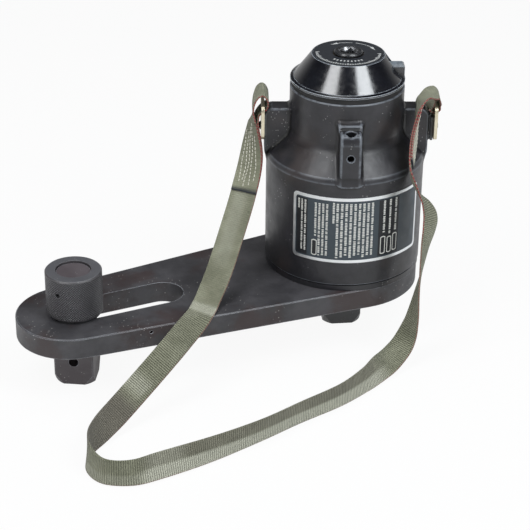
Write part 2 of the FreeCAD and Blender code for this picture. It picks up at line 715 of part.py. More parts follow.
def first_carrier():
    """First stage carrier with the hub that drives the second sun."""
    shape = carrier_plates(FIRST, CARRIER1_Z, CARRIER1_PLATE, CARRIER1_TOP_Z, CARRIER1_TOP_PLATE, WEB_R1)
    shape = fused([shape, cylinder(HUB_R, HUB_Z + 1, CARRIER1_Z + 1),
                   cylinder(HUB_FLANGE_R, HUB_Z, HUB_Z + HUB_FLANGE)])
    shape = shape.cut(cylinder(HUB_SHAFT_R + SEAT, HUB_Z - 1, HUB_Z + HUB_SHAFT_LENGTH + INNER_GAP))
    sun_tip = FIRST_MODULE * (SUN_TEETH / 2 + 1)
    return shape.cut(cylinder(sun_tip + 1, CARRIER1_TOP_Z - 1, CARRIER1_TOP_Z + CARRIER1_TOP_PLATE + 1))


def first_planet_pins():
    return planet_pins(FIRST, CARRIER1_Z + CARRIER1_PLATE / 3, CARRIER1_TOP_Z + CARRIER1_TOP_PLATE)


def input_plate():
    """Plate above the first stage: input bush and foot of the selector spindle."""
    shape = tube(NECK_BORE - SEAT, INPUT_SHAFT_R + INPUT_BUSH_WALL + SEAT, INPUT_PLATE_Z, INPUT_PLATE_TOP)
    x, y = selector_place()
    foot = cylinder(SELECTOR_SPINDLE_R + RUN, INPUT_PLATE_TOP - SELECTOR_SPINDLE_FOOT,
                    INPUT_PLATE_TOP + 1, x, y)
    return shape.cut(foot)


def input_bush():
    return tube(INPUT_SHAFT_R + INPUT_BUSH_WALL, INPUT_SHAFT_R + RUN, INPUT_PLATE_Z, INPUT_PLATE_TOP)


def input_shaft():
    """First sun, journal, ratchet seat and the hub with the input square."""
    gear = outside_gear(FIRST_MODULE, SUN_TEETH, FIRST_Z, FIRST_Z + FIRST.face, 0)
    shaft = revolved([(0, FIRST_Z + FIRST.face - 1), (SUN_NECK_R, FIRST_Z + FIRST.face - 1),
                      (SUN_NECK_R, CARRIER1_TOP_Z), (INPUT_SHAFT_R, CARRIER1_TOP_Z),
                      (INPUT_SHAFT_R, INPUT_PLATE_TOP + FACE_GAP), (WHEEL_BOSS_R, INPUT_PLATE_TOP + FACE_GAP),
                      (WHEEL_BOSS_R, WHEEL_Z), (SEAT_R, WHEEL_Z), (SEAT_R, CONE_TOP_Z + FACE_GAP),
                      (HUB_HEAD_R, CONE_TOP_Z + DISC_THICK + FACE_GAP),
                      (HUB_HEAD_R, HUB_HEAD_TOP - HUB_HEAD_EDGE),
                      (HUB_HEAD_R - HUB_HEAD_EDGE, HUB_HEAD_TOP), (0, HUB_HEAD_TOP)])
    groove_top = ROOF_Z - FACE_GAP
    groove = tube(SEAT_R + 2, SEAT_R - SNAP_GROOVE, groove_top - SNAP_RING_THICK, groove_top)
    floor = HUB_HEAD_TOP - INPUT_SQUARE_DEPTH
    socket = square_prism(INPUT_SQUARE, floor, HUB_HEAD_TOP + 1)
    lead = Part.makeCone(INPUT_SQUARE / 2, INPUT_SQUARE / 2 + 3.2, 3.2, V(0, 0, HUB_HEAD_TOP - 3.1))
    return fused([gear, shaft]).cut(groove).cut(socket).cut(lead)


def shaft_snap_ring():
    groove_top = ROOF_Z - FACE_GAP
    ring = tube(SNAP_RING_R, SEAT_R - SNAP_GROOVE + SEAT,
                groove_top - SNAP_RING_THICK + SEAT, groove_top - SEAT)
    gap = prism([(0, -2), (SNAP_RING_R + 1, -2), (SNAP_RING_R + 1, 2), (0, 2)],
                groove_top - 3, groove_top + 1)
    return ring.cut(gap)


def ratchet_wheel():
    """Wheel with even teeth, because the pawl works both ways."""
    points = []
    pitch = 360.0 / WHEEL_TEETH
    for i in range(WHEEL_TEETH):
        for r, part in ((WHEEL_R - WHEEL_TOOTH, 0.0), (WHEEL_R, 0.3), (WHEEL_R, 0.7)):
            points.append(polar(r, pitch * (i + part)))
    return prism(points, WHEEL_Z, WHEEL_Z + WHEEL_THICK).cut(
        cylinder(SEAT_R + SEAT, WHEEL_Z - 1, WHEEL_Z + WHEEL_THICK + 1))


def selector_turn():
    return RIB_TURN + SELECTOR_TURN_OFFSET


def selector_place():
    return polar(SELECTOR_R, selector_turn())


def pawl_tip():
    """Tip of one arm at rest, such that at full swing it clears the wheel by its gap."""
    swing = math.radians(SELECTOR_SWING)
    reach = WHEEL_R + PAWL_TIP_GAP
    x, y = polar(reach, PAWL_TIP_TURN)
    x -= SELECTOR_R
    return (SELECTOR_R + x * math.cos(swing) + y * math.sin(swing),
            -x * math.sin(swing) + y * math.cos(swing))


def ratchet_pawl():
    """Double-ended pawl on the selector spindle."""
    z0 = WHEEL_Z + (WHEEL_THICK - PAWL_THICK) / 2
    tip_x, tip_y = pawl_tip()
    arms = [(SELECTOR_R, -PAWL_HUB_R), (SELECTOR_R, PAWL_HUB_R), (tip_x + PAWL_ARM, tip_y + PAWL_ARM),
            (tip_x, tip_y), (SELECTOR_R - PAWL_HUB_R, 0), (tip_x, -tip_y),
            (tip_x + PAWL_ARM, -tip_y - PAWL_ARM)]
    shape = fused([prism(arms, z0, z0 + PAWL_THICK), cylinder(PAWL_HUB_R, z0, z0 + PAWL_THICK, SELECTOR_R)])
    shape = shape.cut(cylinder(SELECTOR_SPINDLE_R + SEAT, z0 - 1, z0 + PAWL_THICK + 1, SELECTOR_R))
    return turned(shape, selector_turn())


def selector_spindle():
    """Upright spindle from the input plate through the cover's floor."""
    x, y = selector_place()
    return cylinder(SELECTOR_SPINDLE_R, INPUT_PLATE_TOP - SELECTOR_SPINDLE_FOOT + FACE_GAP,
                    LEVER_TOP_Z - LEVER_EDGE, x, y)


def lever_plan(play):
    """Outline of the selector lever: round at the spindle, straight tab outwards."""
    half = LEVER_WIDTH / 2 + play
    end = LEVER_REACH + play
    tab = [(SELECTOR_R, -half), (end, -half), (end, half), (SELECTOR_R, half)]
    return half, tab


def selector_lever():
    """Block on the cover's flange that the user swings to either side."""
    half, tab = lever_plan(0)
    z0 = LIP_TOP + FACE_GAP + COVER_LIP_BREAK
    block = fused([prism(tab, z0, LEVER_TOP_Z), cylinder(half, z0, LEVER_TOP_Z, SELECTOR_R)])
    top = [e for e in block.Edges
           if e.BoundBox.ZMin > LEVER_TOP_Z - 0.1 and e.BoundBox.XMin > SELECTOR_R - 0.1]
    block = block.makeChamfer(LEVER_EDGE, top)
    block = block.cut(cylinder(SELECTOR_SPINDLE_R + SEAT, z0 - 1, LEVER_TOP_Z - LEVER_EDGE, SELECTOR_R))
    return turned(block, selector_turn())


def lever_pocket(z0, z1):
    """Room for the lever at every angle of its swing."""
    half, tab = lever_plan(LEVER_PLAY)
    long_tab = [(x if x < LEVER_REACH else NECK_R + COVER_LIP_THICK, y) for x, y in tab]
    cutters = [cylinder(half, z0, z1, SELECTOR_R)]
    steps = (-1.0, -0.5, 0.0, 0.5, 1.0)
    for step in steps:
        cutters.append(turned(prism(long_tab, z0, z1), step * SELECTOR_SWING, SELECTOR_R))
    return turned(fused(cutters), selector_turn())


def ratchet_cover():
    """Glossy cone with a flange, screwed into the neck."""
    spigot_r = NECK_BORE - SEAT
    bush_r = SEAT_R + RUN + COVER_BUSH_WALL + SEAT
    hollow_r = spigot_r - COVER_SPIGOT_WALL
    spigot_z = NECK_TOP - COVER_SPIGOT
    hollow_z = LIP_TOP + COVER_LIP_BREAK + 2
    shape = revolved([(hollow_r, spigot_z), (spigot_r, spigot_z), (spigot_r, LIP_Z), (NECK_R, LIP_Z),
                      (NECK_R, LIP_TOP), (CONE_FOOT_R, LIP_TOP + COVER_LIP_BREAK), (CONE_TOP_R, CONE_TOP_Z),
                      (bush_r, CONE_TOP_Z), (bush_r, ROOF_Z), (COVER_ROOF_R, ROOF_Z), (hollow_r, hollow_z)])
    floor = LIP_TOP + COVER_LIP_BREAK
    shape = shape.cut(lever_pocket(floor, CONE_TOP_Z))
    x, y = selector_place()
    shape = shape.cut(cylinder(SELECTOR_SPINDLE_R + RUN, spigot_z - 1, floor + 1, x, y))
    recess = tube(DISC_R + SEAT, bush_r - 1, CONE_TOP_Z - DISC_THICK / 2, CONE_TOP_Z + 1)
    return shape.cut(recess)


def cover_seal():
    return tube(NECK_R - COVER_SEAL_INSET, NECK_BORE, NECK_TOP, LIP_Z)


def cover_bush():
    return tube(SEAT_R + RUN + COVER_BUSH_WALL, SEAT_R + RUN, ROOF_Z, CONE_TOP_Z - DISC_THICK)


def direction_plate():
    return tube(DISC_R, DISC_BORE_R, CONE_TOP_Z - DISC_THICK / 2, CONE_TOP_Z + DISC_THICK / 2)


def section_lines(points):
    """Lines through (radius, height) points."""
    ends = [V(r, 0, z) for r, z in points]
    return [Part.makeLine(a, b) for a, b in zip(ends, ends[1:])]


def case_shell():
    """Turned shape of the case: body, groove, sloped shoulder, neck and bore."""
    fillet_z = SHOULDER_TOP + NECK_FILLET
    shoulder_r = NECK_R + SHOULDER_STEP
    groove_z = RING_TOP + GROOVE_HEIGHT
    rim = BODY_RIM_BREAK
    turned_points = [(CASE_R - GROOVE_DEPTH, RING_TOP), (CASE_R - GROOVE_DEPTH, groove_z), (CASE_R, groove_z),
                     (CASE_R, BODY_TOP - rim), (CASE_R - rim, BODY_TOP + rim / 2), (shoulder_r, SHOULDER_TOP)]
    edges = section_lines(turned_points)
    start = V(shoulder_r, 0, SHOULDER_TOP)
    end = V(NECK_R, 0, fillet_z)
    sag = V(NECK_R + SHOULDER_STEP * 0.27, 0, SHOULDER_TOP + NECK_FILLET * 0.36)
    edges.append(Part.Arc(start, sag, end).toShape())
    ledge_r = NECK_BORE - NECK_LEDGE_WIDTH
    ledge_low = NECK_LEDGE_Z - NECK_LEDGE_THICK
    roof = ledge_low - CAVITY_NECKING
    cavity_r = CASE_BORE - NECK_LEDGE_WIDTH
    inner = [(NECK_R, fillet_z), (NECK_R, NECK_TOP - NECK_EDGE), (NECK_R - NECK_EDGE, NECK_TOP),
             (NECK_BORE, NECK_TOP), (NECK_BORE, NECK_LEDGE_Z), (ledge_r, NECK_LEDGE_Z), (ledge_r, ledge_low),
             (cavity_r, roof), (cavity_r, STAGE_PLATE_TOP), (CASE_BORE, STAGE_PLATE_TOP),
             (CASE_BORE, RING_TOP), (CASE_R - GROOVE_DEPTH, RING_TOP)]
    edges += section_lines(inner)
    return Part.Face(Part.Wire(edges)).revolve(V(0, 0, 0), UP, 360)


def rounded_slab(points, width, radius):
    """A slab with its outer upright and top edges rounded."""
    block = slab(points, width)
    inner = min(r for r, z in points) + 1
    return round_edges(block, radius, lambda e: e.BoundBox.XMin > inner and e.BoundBox.YLength < width / 2)


def handle_rib():
    """Cast rib with a stepped ledge behind an upright socket."""
    inside = NECK_R - NECK_WALL / 2
    foot = BODY_TOP - RIB_FOOT_DROP
    rib = rounded_slab([(inside, foot), (CASE_R, foot), (CASE_R, RIB_TOP - RIB_NOSE_DROP),
                        (CASE_R - RIB_NOSE_RUN, RIB_TOP), (inside, RIB_TOP)], RIB_WIDTH, RIB_EDGE)
    reach = NECK_R + LEDGE_REACH
    slope = LEDGE_RISE / 2
    ledge = rounded_slab([(inside, RIB_TOP - 3), (reach, RIB_TOP - 3), (reach, RIB_TOP + LEDGE_RISE - slope),
                          (reach - slope, RIB_TOP + LEDGE_RISE), (inside, RIB_TOP + LEDGE_RISE)],
                         LEDGE_WIDTH, slope / 2)
    return fused([rib, ledge])


def strap_lug():
    """Cast lug for a strap plate, sloped back to the body at its foot."""
    inside = NECK_R - NECK_WALL / 2
    foot = BODY_TOP - LUG_FOOT_DROP
    return rounded_slab([(inside, foot), (CASE_R - 1, foot - LUG_REACH), (LUG_R, foot + LUG_FOOT_SLOPE / 3),
                         (LUG_R, RIB_TOP - LUG_TOP_BREAK), (LUG_R - LUG_TOP_BREAK, RIB_TOP),
                         (inside, RIB_TOP)], RIB_WIDTH, RIB_EDGE * 0.6)


def gear_case():
    """Cast case with two handle ribs, two strap lugs and their holes."""
    pad_top = RIB_TOP - LUG_TOP_BREAK - 1
    pad_z = pad_top - PAD_HEIGHT
    pad = slab([(LUG_R - 2, pad_z), (LUG_R + PAD_REACH, pad_z), (LUG_R + PAD_REACH, pad_top),
                (LUG_R - 2, pad_top)], RIB_WIDTH - 2)
    pieces = [case_shell(), turned(handle_rib(), RIB_TURN), turned(handle_rib(), RIB_TURN + 180),
              turned(strap_lug(), RIB_TURN + 90), turned(strap_lug(), RIB_TURN - 90),
              turned(pad, RIB_TURN + 90)]
    shape = fused(pieces)
    shape = shape.cut(cylinder(NECK_BORE, NECK_LEDGE_Z, NECK_TOP + 1))
    socket_r = NECK_R + SOCKET_FROM_NECK
    for turn in (RIB_TURN, RIB_TURN + 180):
        x, y = polar(socket_r, turn)
        shape = shape.cut(cylinder(SOCKET_R, RIB_TOP - SOCKET_DEPTH, RIB_TOP + LEDGE_RISE + 1, x, y))
        shape = shape.cut(radial_rod(SOCKET_PIN_R, socket_r, CASE_R + 1, RIB_TOP - SOCKET_PIN_DROP, turn))
    for turn, face in strap_sides():
        hole = radial_rod(STRAP_SCREW_R + SEAT, plate_face(face) - STRAP_SCREW_LENGTH, LUG_R + PAD_REACH + 1,
                          STRAP_SCREW_Z, turn)
        shape = shape.cut(hole)
    for x, y in bolt_places():
        shape = shape.cut(cylinder(BAR_SCREW_R + SEAT, RING_TOP - 1, RING_TOP + BAR_SCREW_THREAD + 1, x, y))
    return shape


def strap_sides():
    """Direction of each strap lug and how far its plate stands off the lug."""
    return ((RIB_TURN - 90, 0.0), (RIB_TURN + 90, PAD_REACH + SPACER_THICK))


def plate_face(stand_off):
    """Distance of a plate's inner face from the tool's axis."""
    return LUG_R + stand_off


def strap_plate(turn, stand_off):
    """Flat plate with round corners and a slot for the webbing."""
    x0 = plate_face(stand_off)
    half = PLATE_WIDTH / 2
    top = PLATE_BOTTOM + PLATE_HEIGHT
    box = Part.makeBox(PLATE_THICK, PLATE_WIDTH, PLATE_HEIGHT, V(x0, -half, PLATE_BOTTOM))
    box = round_edges(box, PLATE_CORNER, lambda e: e.BoundBox.XLength > PLATE_THICK / 2)
    slot_top = top - PLATE_SLOT_FROM_TOP
    slot = Part.makeBox(PLATE_THICK + 2, PLATE_SLOT_WIDTH, PLATE_SLOT_HEIGHT,
                        V(x0 - 1, -PLATE_SLOT_WIDTH / 2, slot_top - PLATE_SLOT_HEIGHT))
    slot = round_edges(slot, PLATE_SLOT_HEIGHT * 0.4, lambda e: e.BoundBox.XLength > PLATE_THICK / 2)
    hole = Part.makeCylinder(STRAP_SCREW_R + SEAT, PLATE_THICK + 2, V(x0 - 1, 0, STRAP_SCREW_Z), V(1, 0, 0))
    return turned(box.cut(slot).cut(hole), turn)


def right_plate_spacer():
    """Spacer between the pad and the right strap plate."""
    x0 = plate_face(PAD_REACH)
    z0 = STRAP_SCREW_Z - SPACER_HEIGHT / 2
    box = Part.makeBox(SPACER_THICK, RIB_WIDTH - 2, SPACER_HEIGHT, V(x0, 1 - RIB_WIDTH / 2, z0))
    hole = Part.makeCylinder(STRAP_SCREW_R + SEAT, SPACER_THICK + 2, V(x0 - 1, 0, STRAP_SCREW_Z), V(1, 0, 0))
    return turned(box.cut(hole), RIB_TURN + 90)


def strap_screws():
    """Button head screw on each side, through plate and spacer into the lug."""
    screws = []
    for turn, stand_off in strap_sides():
        outer = plate_face(stand_off) + PLATE_THICK
        shank = Part.makeCylinder(STRAP_SCREW_R, STRAP_SCREW_LENGTH + PLATE_THICK + 0.5,
                                  V(outer + 0.5, 0, STRAP_SCREW_Z), V(-1, 0, 0))
        head = Part.makeCone(STRAP_SCREW_HEAD_R, STRAP_SCREW_HEAD_R * 0.6, STRAP_SCREW_HEAD,
                             V(outer, 0, STRAP_SCREW_Z), V(1, 0, 0))
        screws.append(turned(fused([shank, head]), turn))
    return Part.makeCompound(screws)


def label_plate():
    """Thin curved plate with round corners on the front of the body."""
    ring = tube(CASE_R + SEAT + LABEL_THICK, CASE_R + SEAT, LABEL_BOTTOM, LABEL_BOTTOM + LABEL_HEIGHT)
    middle = (LABEL_FROM + LABEL_TO) / 2
    half = math.radians(LABEL_TO - LABEL_FROM) / 2
    reach = CASE_R + 5
    far = reach / math.cos(half / 2)
    corners = [polar(far, math.degrees(half) * side) for side in (-1, 0, 1)]
    wedge = prism([(0, 0)] + corners, LABEL_BOTTOM - 1, LABEL_BOTTOM + LABEL_HEIGHT + 1)
    sector = ring.common(turned(wedge, middle))
    return round_edges(sector, LABEL_CORNER, lambda e: e.Length < LABEL_THICK * 1.5)


def post_square():
    half_top = BAR_BOTTOM - FACE_GAP
    return square_prism(SQUARE, 0, half_top).common(turned_envelope(0, half_top, False))


def reaction_post():
    """Square post below the bar, collar that fills the slot and round threaded shank."""
    shank_top = NUT_TOP - NUT_RECESS
    shank = cylinder(SHANK_R, BAR_BOTTOM - 2, shank_top)
    rim = [e for e in shank.Edges if e.BoundBox.ZMin > shank_top - 0.1]
    collar = cylinder(COLLAR_R, BAR_BOTTOM - FACE_GAP, BAR_TOP - COLLAR_DROP)
    shape = fused([post_square(), collar, shank.makeChamfer(0.8, rim)])
    shape = shape.cut(radial_rod(CROSS_HOLE_R, -SQUARE, SQUARE, CROSS_HOLE_Z, -90))
    shape = turned(shape, POST_TURN)
    shape.translate(V(-POST_X, 0, 0))
    return shape


def post_washer():
    z0 = BAR_TOP + FACE_GAP
    return tube(WASHER_R, SHANK_R + POST_SHANK_PLAY, z0, z0 + WASHER_THICK, -POST_X)


def nut_screw_axis():
    """Start outside the nut and direction towards its axis."""
    x, y = polar(1.0, NUT_SCREW_TURN)
    z = NUT_TOP - NUT_SCREW_DROP
    return V(-POST_X + NUT_R * x, NUT_R * y, z), V(-x, -y, 0)


def knurled_nut():
    """Tall round nut; the knurled band is cut between two plain edges."""
    body = cylinder(NUT_R, NUT_Z, NUT_TOP, -POST_X)
    body = body.makeChamfer(NUT_EDGE, [e for e in body.Edges if e.BoundBox.ZLength < NUT_HEIGHT / 2])
    bore = cylinder(SHANK_R + RUN, NUT_Z - 1, NUT_TOP + 1, -POST_X)
    mouth, inward = nut_screw_axis()
    hole = Part.makeCylinder(NUT_SCREW_R + SEAT, NUT_R - SHANK_R + 2, mouth - inward, inward)
    return body.cut(bore).cut(hole)


def nut_set_screw():
    mouth, inward = nut_screw_axis()
    screw = Part.makeCylinder(NUT_SCREW_R, NUT_SCREW_LENGTH, mouth + inward * NUT_SCREW_SINK, inward)
    key = Part.makeCylinder(NUT_SCREW_R * 0.5, 3, mouth - inward, inward)
    return screw.cut(key)


def loop_stations(points, side, edge_sign):
    """Stations of a loop given relative to a plate's outer face and top edge."""
    turn, stand_off = strap_sides()[side]
    out_x, out_y = polar(1.0, turn)
    face = plate_face(stand_off) + PLATE_THICK
    edge = V(-out_y * edge_sign, out_x * edge_sign, 0)
    stations = []
    for out, along, up in points:
        r = face + out
        middle = V(r * out_x - along * out_y, r * out_y + along * out_x, PLATE_BOTTOM + PLATE_HEIGHT + up)
        stations.append((middle, edge))
    return stations


def as_stations(rows):
    return [(V(*middle), V(*edge).normalize()) for middle, edge in rows]


def free_stations():
    """Stations between the two loops."""
    over_bar = tuple(((x, y, z + BAR_TOP), edge) for (x, y, z), edge in STRAP_OVER_BAR)
    return as_stations(STRAP_DOWN + over_bar + STRAP_TO_FLOOR + STRAP_ON_FLOOR + STRAP_UP)


def squared_up(stations):
    """Middle, unit edge direction and unit normal at each station."""
    rows = []
    for i, (middle, edge) in enumerate(stations):
        before = stations[max(i - 1, 0)][0]
        after = stations[min(i + 1, len(stations) - 1)][0]
        along = (after - before).normalize()
        across = (edge - along * edge.dot(along)).normalize()
        rows.append((middle, across, along.cross(across)))
    return rows


def smooth(points, steps):
    """Curve through the points, with evenly spaced points between each two."""
    result = []
    for i in range(len(points) - 1):
        p1, p2 = points[i], points[i + 1]
        p0 = points[i - 1] if i else p1 * 2 - p2
        p3 = points[i + 2] if i + 2 < len(points) else p2 * 2 - p1
        span = (p2 - p1).Length
        m1 = (p2 - p0) * (span / ((p2 - p1).Length + (p1 - p0).Length))
        m2 = (p3 - p1) * (span / ((p3 - p2).Length + (p2 - p1).Length))
        for k in range(steps):
            u = k / steps
            result.append(p1 * (2 * u ** 3 - 3 * u ** 2 + 1) + m1 * (u ** 3 - 2 * u ** 2 + u)
                          + p2 * (3 * u ** 2 - 2 * u ** 3) + m2 * (u ** 3 - u ** 2))
    return result + [points[-1]]


def blended(directions, steps):
    """Directions between each two, turning evenly from one to the next."""
    result = []
    for first, second in zip(directions, directions[1:]):
        for k in range(steps):
            u = k / steps
            result.append(first * (1 - u) + second * u)
    return result + [directions[-1]]


def bridged(start, loop, end):
    """Stations of a loop with the sections it has to meet at either side."""
    rows = [start] + loop + [end]
    middles = smooth([middle for middle, edge in rows], STRAP_STEP_COUNT)
    return list(zip(middles, blended([edge for middle, edge in rows], STRAP_STEP_COUNT)))[1:-1]


def carry_strap():
    """Webbing from lap to lap: left loop, over the bar, round the floor, right loop."""
    rows = free_stations()
    middles = smooth([middle for middle, edge in rows], STRAP_STEP_COUNT)
    edges = blended([edge for middle, edge in rows], STRAP_STEP_COUNT)
    flat = squared_up(list(zip(middles, edges)))
    free = [(middle, across) for middle, across, normal in flat]
    outer = [(middle - normal * (STRAP_THICK + STRAP_LAP_GAP), across) for middle, across, normal in flat]
    left_lap = outer[:LEFT_LAP_COUNT * STRAP_STEP_COUNT][::-1]
    right_lap = outer[-RIGHT_LAP_COUNT * STRAP_STEP_COUNT:-RIGHT_LAP_SKIP * STRAP_STEP_COUNT][::-1]
    left_loop = bridged(left_lap[-1], loop_stations(STRAP_LEFT_LOOP, 0, -1), free[0])
    right_way = loop_stations(STRAP_RIGHT_LOOP, 1, 1) + as_stations(STRAP_TUCK)
    right_loop = bridged(free[-1], right_way, right_lap[0])
    wires = []
    for middle, across, normal in squared_up(left_lap + left_loop + free + right_loop + right_lap):
        half = across * (STRAP_WIDTH / 2)
        up = normal * (STRAP_THICK / 2)
        corners = [middle + half + up, middle + half - up, middle - half - up, middle - half + up]
        wires.append(Part.makePolygon(corners + corners[:1]))
    return Part.makeLoft(wires, True, True)


PARTS = {
    "gear_case": gear_case,
    "base_ring": base_ring,
    "reaction_bar": reaction_bar,
    "bar_screws": bar_screws,
    "output_bush": output_bush,
    "output_seal": output_seal,
    "output_carrier": output_carrier,
    "output_square_drive": output_square_drive,
    "drive_screw": drive_screw,
    "second_planet_pins": second_planet_pins,
    "second_ring_gear": second_ring_gear,
    "second_sun": second_sun,
    "stage_plate": stage_plate,
    "carrier_bush": carrier_bush,
    "carrier_thrust_washer": carrier_thrust_washer,
    "first_carrier": first_carrier,
    "first_planet_pins": first_planet_pins,
    "first_ring_gear": first_ring_gear,
    "input_plate": input_plate,
    "input_bush": input_bush,
    "input_shaft": input_shaft,
    "shaft_snap_ring": shaft_snap_ring,
    "ratchet_wheel": ratchet_wheel,
    "ratchet_pawl": ratchet_pawl,
    "selector_spindle": selector_spindle,
    "selector_lever": selector_lever,
    "ratchet_cover": ratchet_cover,
    "cover_seal": cover_seal,
    "cover_bush": cover_bush,
    "direction_plate": direction_plate,
    "label_plate": label_plate,
    "left_strap_plate": lambda: strap_plate(*strap_sides()[0]),
    "right_strap_plate": lambda: strap_plate(*strap_sides()[1]),
    "right_plate_spacer": right_plate_spacer,
    "strap_screws": strap_screws,
    "carry_strap": carry_strap,
    "reaction_post": reaction_post,
    "post_washer": post_washer,
    "knurled_nut": knurled_nut,
    "nut_set_screw": nut_set_screw,
}
for number in range(PLANETS):
    PARTS["first_planet_%d" % (number + 1)] = lambda n=number: planet(FIRST, n, FIRST_Z)
    PARTS["second_planet_%d" % (number + 1)] = lambda n=number: planet(SECOND, n, SECOND_Z)

os.makedirs("parts", exist_ok=True)
for name, make in PARTS.items():
    make().exportStep("parts/%s.step" % name)
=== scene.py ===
"""Looks of the geared torque multiplier, in metres, in the frame of the solid model."""

import json
import math
import random

import bpy
import numpy as np
from mathutils import Matrix, Vector


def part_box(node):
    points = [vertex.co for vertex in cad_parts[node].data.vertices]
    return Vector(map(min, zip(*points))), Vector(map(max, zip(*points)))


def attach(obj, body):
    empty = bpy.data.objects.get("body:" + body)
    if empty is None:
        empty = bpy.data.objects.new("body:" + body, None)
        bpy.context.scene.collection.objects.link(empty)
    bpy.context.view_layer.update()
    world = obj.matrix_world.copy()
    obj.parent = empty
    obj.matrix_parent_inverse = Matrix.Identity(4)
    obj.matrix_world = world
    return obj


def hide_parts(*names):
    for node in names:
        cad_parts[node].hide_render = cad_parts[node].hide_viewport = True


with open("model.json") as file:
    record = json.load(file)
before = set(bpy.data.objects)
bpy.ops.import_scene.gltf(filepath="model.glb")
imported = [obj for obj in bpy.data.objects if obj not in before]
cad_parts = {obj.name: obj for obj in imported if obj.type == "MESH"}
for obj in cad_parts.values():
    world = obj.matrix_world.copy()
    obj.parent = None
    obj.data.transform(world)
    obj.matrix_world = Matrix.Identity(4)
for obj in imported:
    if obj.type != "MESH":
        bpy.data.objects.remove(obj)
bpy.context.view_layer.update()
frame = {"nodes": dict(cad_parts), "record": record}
NODES = frame["nodes"]
MM = 0.001
UP = Vector((0, 0, 1))

# Sizes shared with the solid model, millimetres
CASE_R = 77.94
CASE_BORE = 63.04
BODY_TOP = 188.0
SHOULDER = (60.37, 206.5)
NECK_R = 55.77
NECK_BORE = 47.97
NECK_TOP = 258.0
RING_TOP = 76.0
RIB_TURN = -114.0
RIB_TOP = 235.5
RIB_HALF = 10.25
SOCKET_OUT = 69.57
LABEL_R = 78.57
LABEL_TURN = (-155.8, -53.2)
LABEL_Z = (102.0, 171.5)
LUG_R = 80.34
PLATE_THICK = 3.2
PLATE_TOP = 240.0
BAR_TOP = 70.5
POST_X = -287.3
NUT_R = 27.15
NUT_Z = (72.8, 116.4)
CONE_TOP = 289.3
STRAP_WIDTH = 25.4
STRAP_THICK = 1.7


# Shader building

class Shader:
    """One node material around a Principled shader, with short names for its nodes."""

    def __init__(self, name, **settings):
        self.mat = bpy.data.materials.new(name)
        self.mat.use_nodes = True
        self.tree = self.mat.node_tree
        self.bsdf = self.tree.nodes["Principled BSDF"]
        self.where = self.add("ShaderNodeTexCoord").outputs["Object"]
        for key, value in settings.items():
            self.put(self.bsdf.inputs[key.replace("_", " ")], value)

    def put(self, socket, value):
        if isinstance(value, bpy.types.NodeSocket):
            self.tree.links.new(value, socket)
        elif hasattr(value, "__len__") and len(value) == 3 and socket.type == "RGBA":
            socket.default_value = (*value, 1)
        else:
            socket.default_value = value

    def add(self, kind, inputs=None, **settings):
        node = self.tree.nodes.new(kind)
        for key, value in settings.items():
            setattr(node, key, value)
        for key, value in (inputs or {}).items():
            self.put(node.inputs[key], value)
        return node

    def math(self, operation, a, b=0.0, c=0.0):
        return self.add("ShaderNodeMath", {0: a, 1: b, 2: c}, operation=operation).outputs[0]

    def times(self, a, b):
        return self.math("MULTIPLY", a, b)

    def wave(self, value, period):
        return self.math("SINE", self.times(value, math.tau / period))

    def scaled(self, vector, scale, shift=(0, 0, 0)):
        node = self.add("ShaderNodeMapping", {"Vector": vector, "Scale": scale, "Location": shift})
        return node.outputs[0]

    def noise(self, scale, detail=3.0, rough=0.5, vector=None):
        inputs = {"Vector": vector or self.where, "Scale": scale, "Detail": detail, "Roughness": rough}
        return self.add("ShaderNodeTexNoise", inputs).outputs[0]

    def cells(self, scale):
        inputs = {"Vector": self.where, "Scale": scale}
        return self.add("ShaderNodeTexVoronoi", inputs).outputs["Distance"]

    def attribute(self, name):
        return self.add("ShaderNodeAttribute", attribute_name=name).outputs["Fac"]

    def spread(self, value, low, high, to_low=0.0, to_high=1.0):
        inputs = {0: value, 1: low, 2: high, 3: to_low, 4: to_high}
        return self.add("ShaderNodeMapRange", inputs, interpolation_type="SMOOTHSTEP").outputs[0]

    def mix(self, factor, a, b):
        node = self.add("ShaderNodeMix", {0: factor, 6: a, 7: b}, data_type="RGBA")
        return node.outputs[2]

    def split(self, vector):
        return self.add("ShaderNodeSeparateXYZ", {0: vector}).outputs

    def soft(self, radius):
        """Normal as if every sharp edge had this radius."""
        return self.add("ShaderNodeBevel", {"Radius": radius}, samples=6).outputs[0]

    def edges(self, radius):
        """1 along sharp outward and inward edges, 0 on flat faces."""
        true = self.add("ShaderNodeNewGeometry").outputs["Normal"]
        inputs = {0: self.soft(radius), 1: true}
        dot = self.add("ShaderNodeVectorMath", inputs, operation="DOT_PRODUCT").outputs["Value"]
        return self.spread(dot, 0.995, 0.9)

    def bump(self, height, strength, distance, below=None):
        inputs = {"Height": height, "Strength": strength, "Distance": distance}
        if below:
            inputs["Normal"] = below
        return self.add("ShaderNodeBump", inputs).outputs[0]

    def specks(self, scale, size, share):
        """Small dots, thinned out by a coarse noise so that they come in drifts."""
        dots = self.spread(self.cells(scale), size, size * 0.4)
        return self.times(dots, self.spread(self.noise(scale * 0.12), 1 - share, 1.06 - share))

    def wear_and_highlight_edges(self, color, radius, amount, tint):
        """Colour whose sharp edges take a tint: edge wear on most finishes, a painted highlight on the
        cover.
        """
        return self.mix(self.times(self.edges(radius), amount), color, tint)

    def drift(self, scale, detail, low, high):
        """Roughness that drifts between two values."""
        return self.spread(self.noise(scale, detail), 0.3, 0.7, low, high)

    def finish(self, color, rough, normal):
        for key, value in (("Base Color", color), ("Roughness", rough), ("Normal", normal)):
            self.put(self.bsdf.inputs[key], value)
        return self.mat


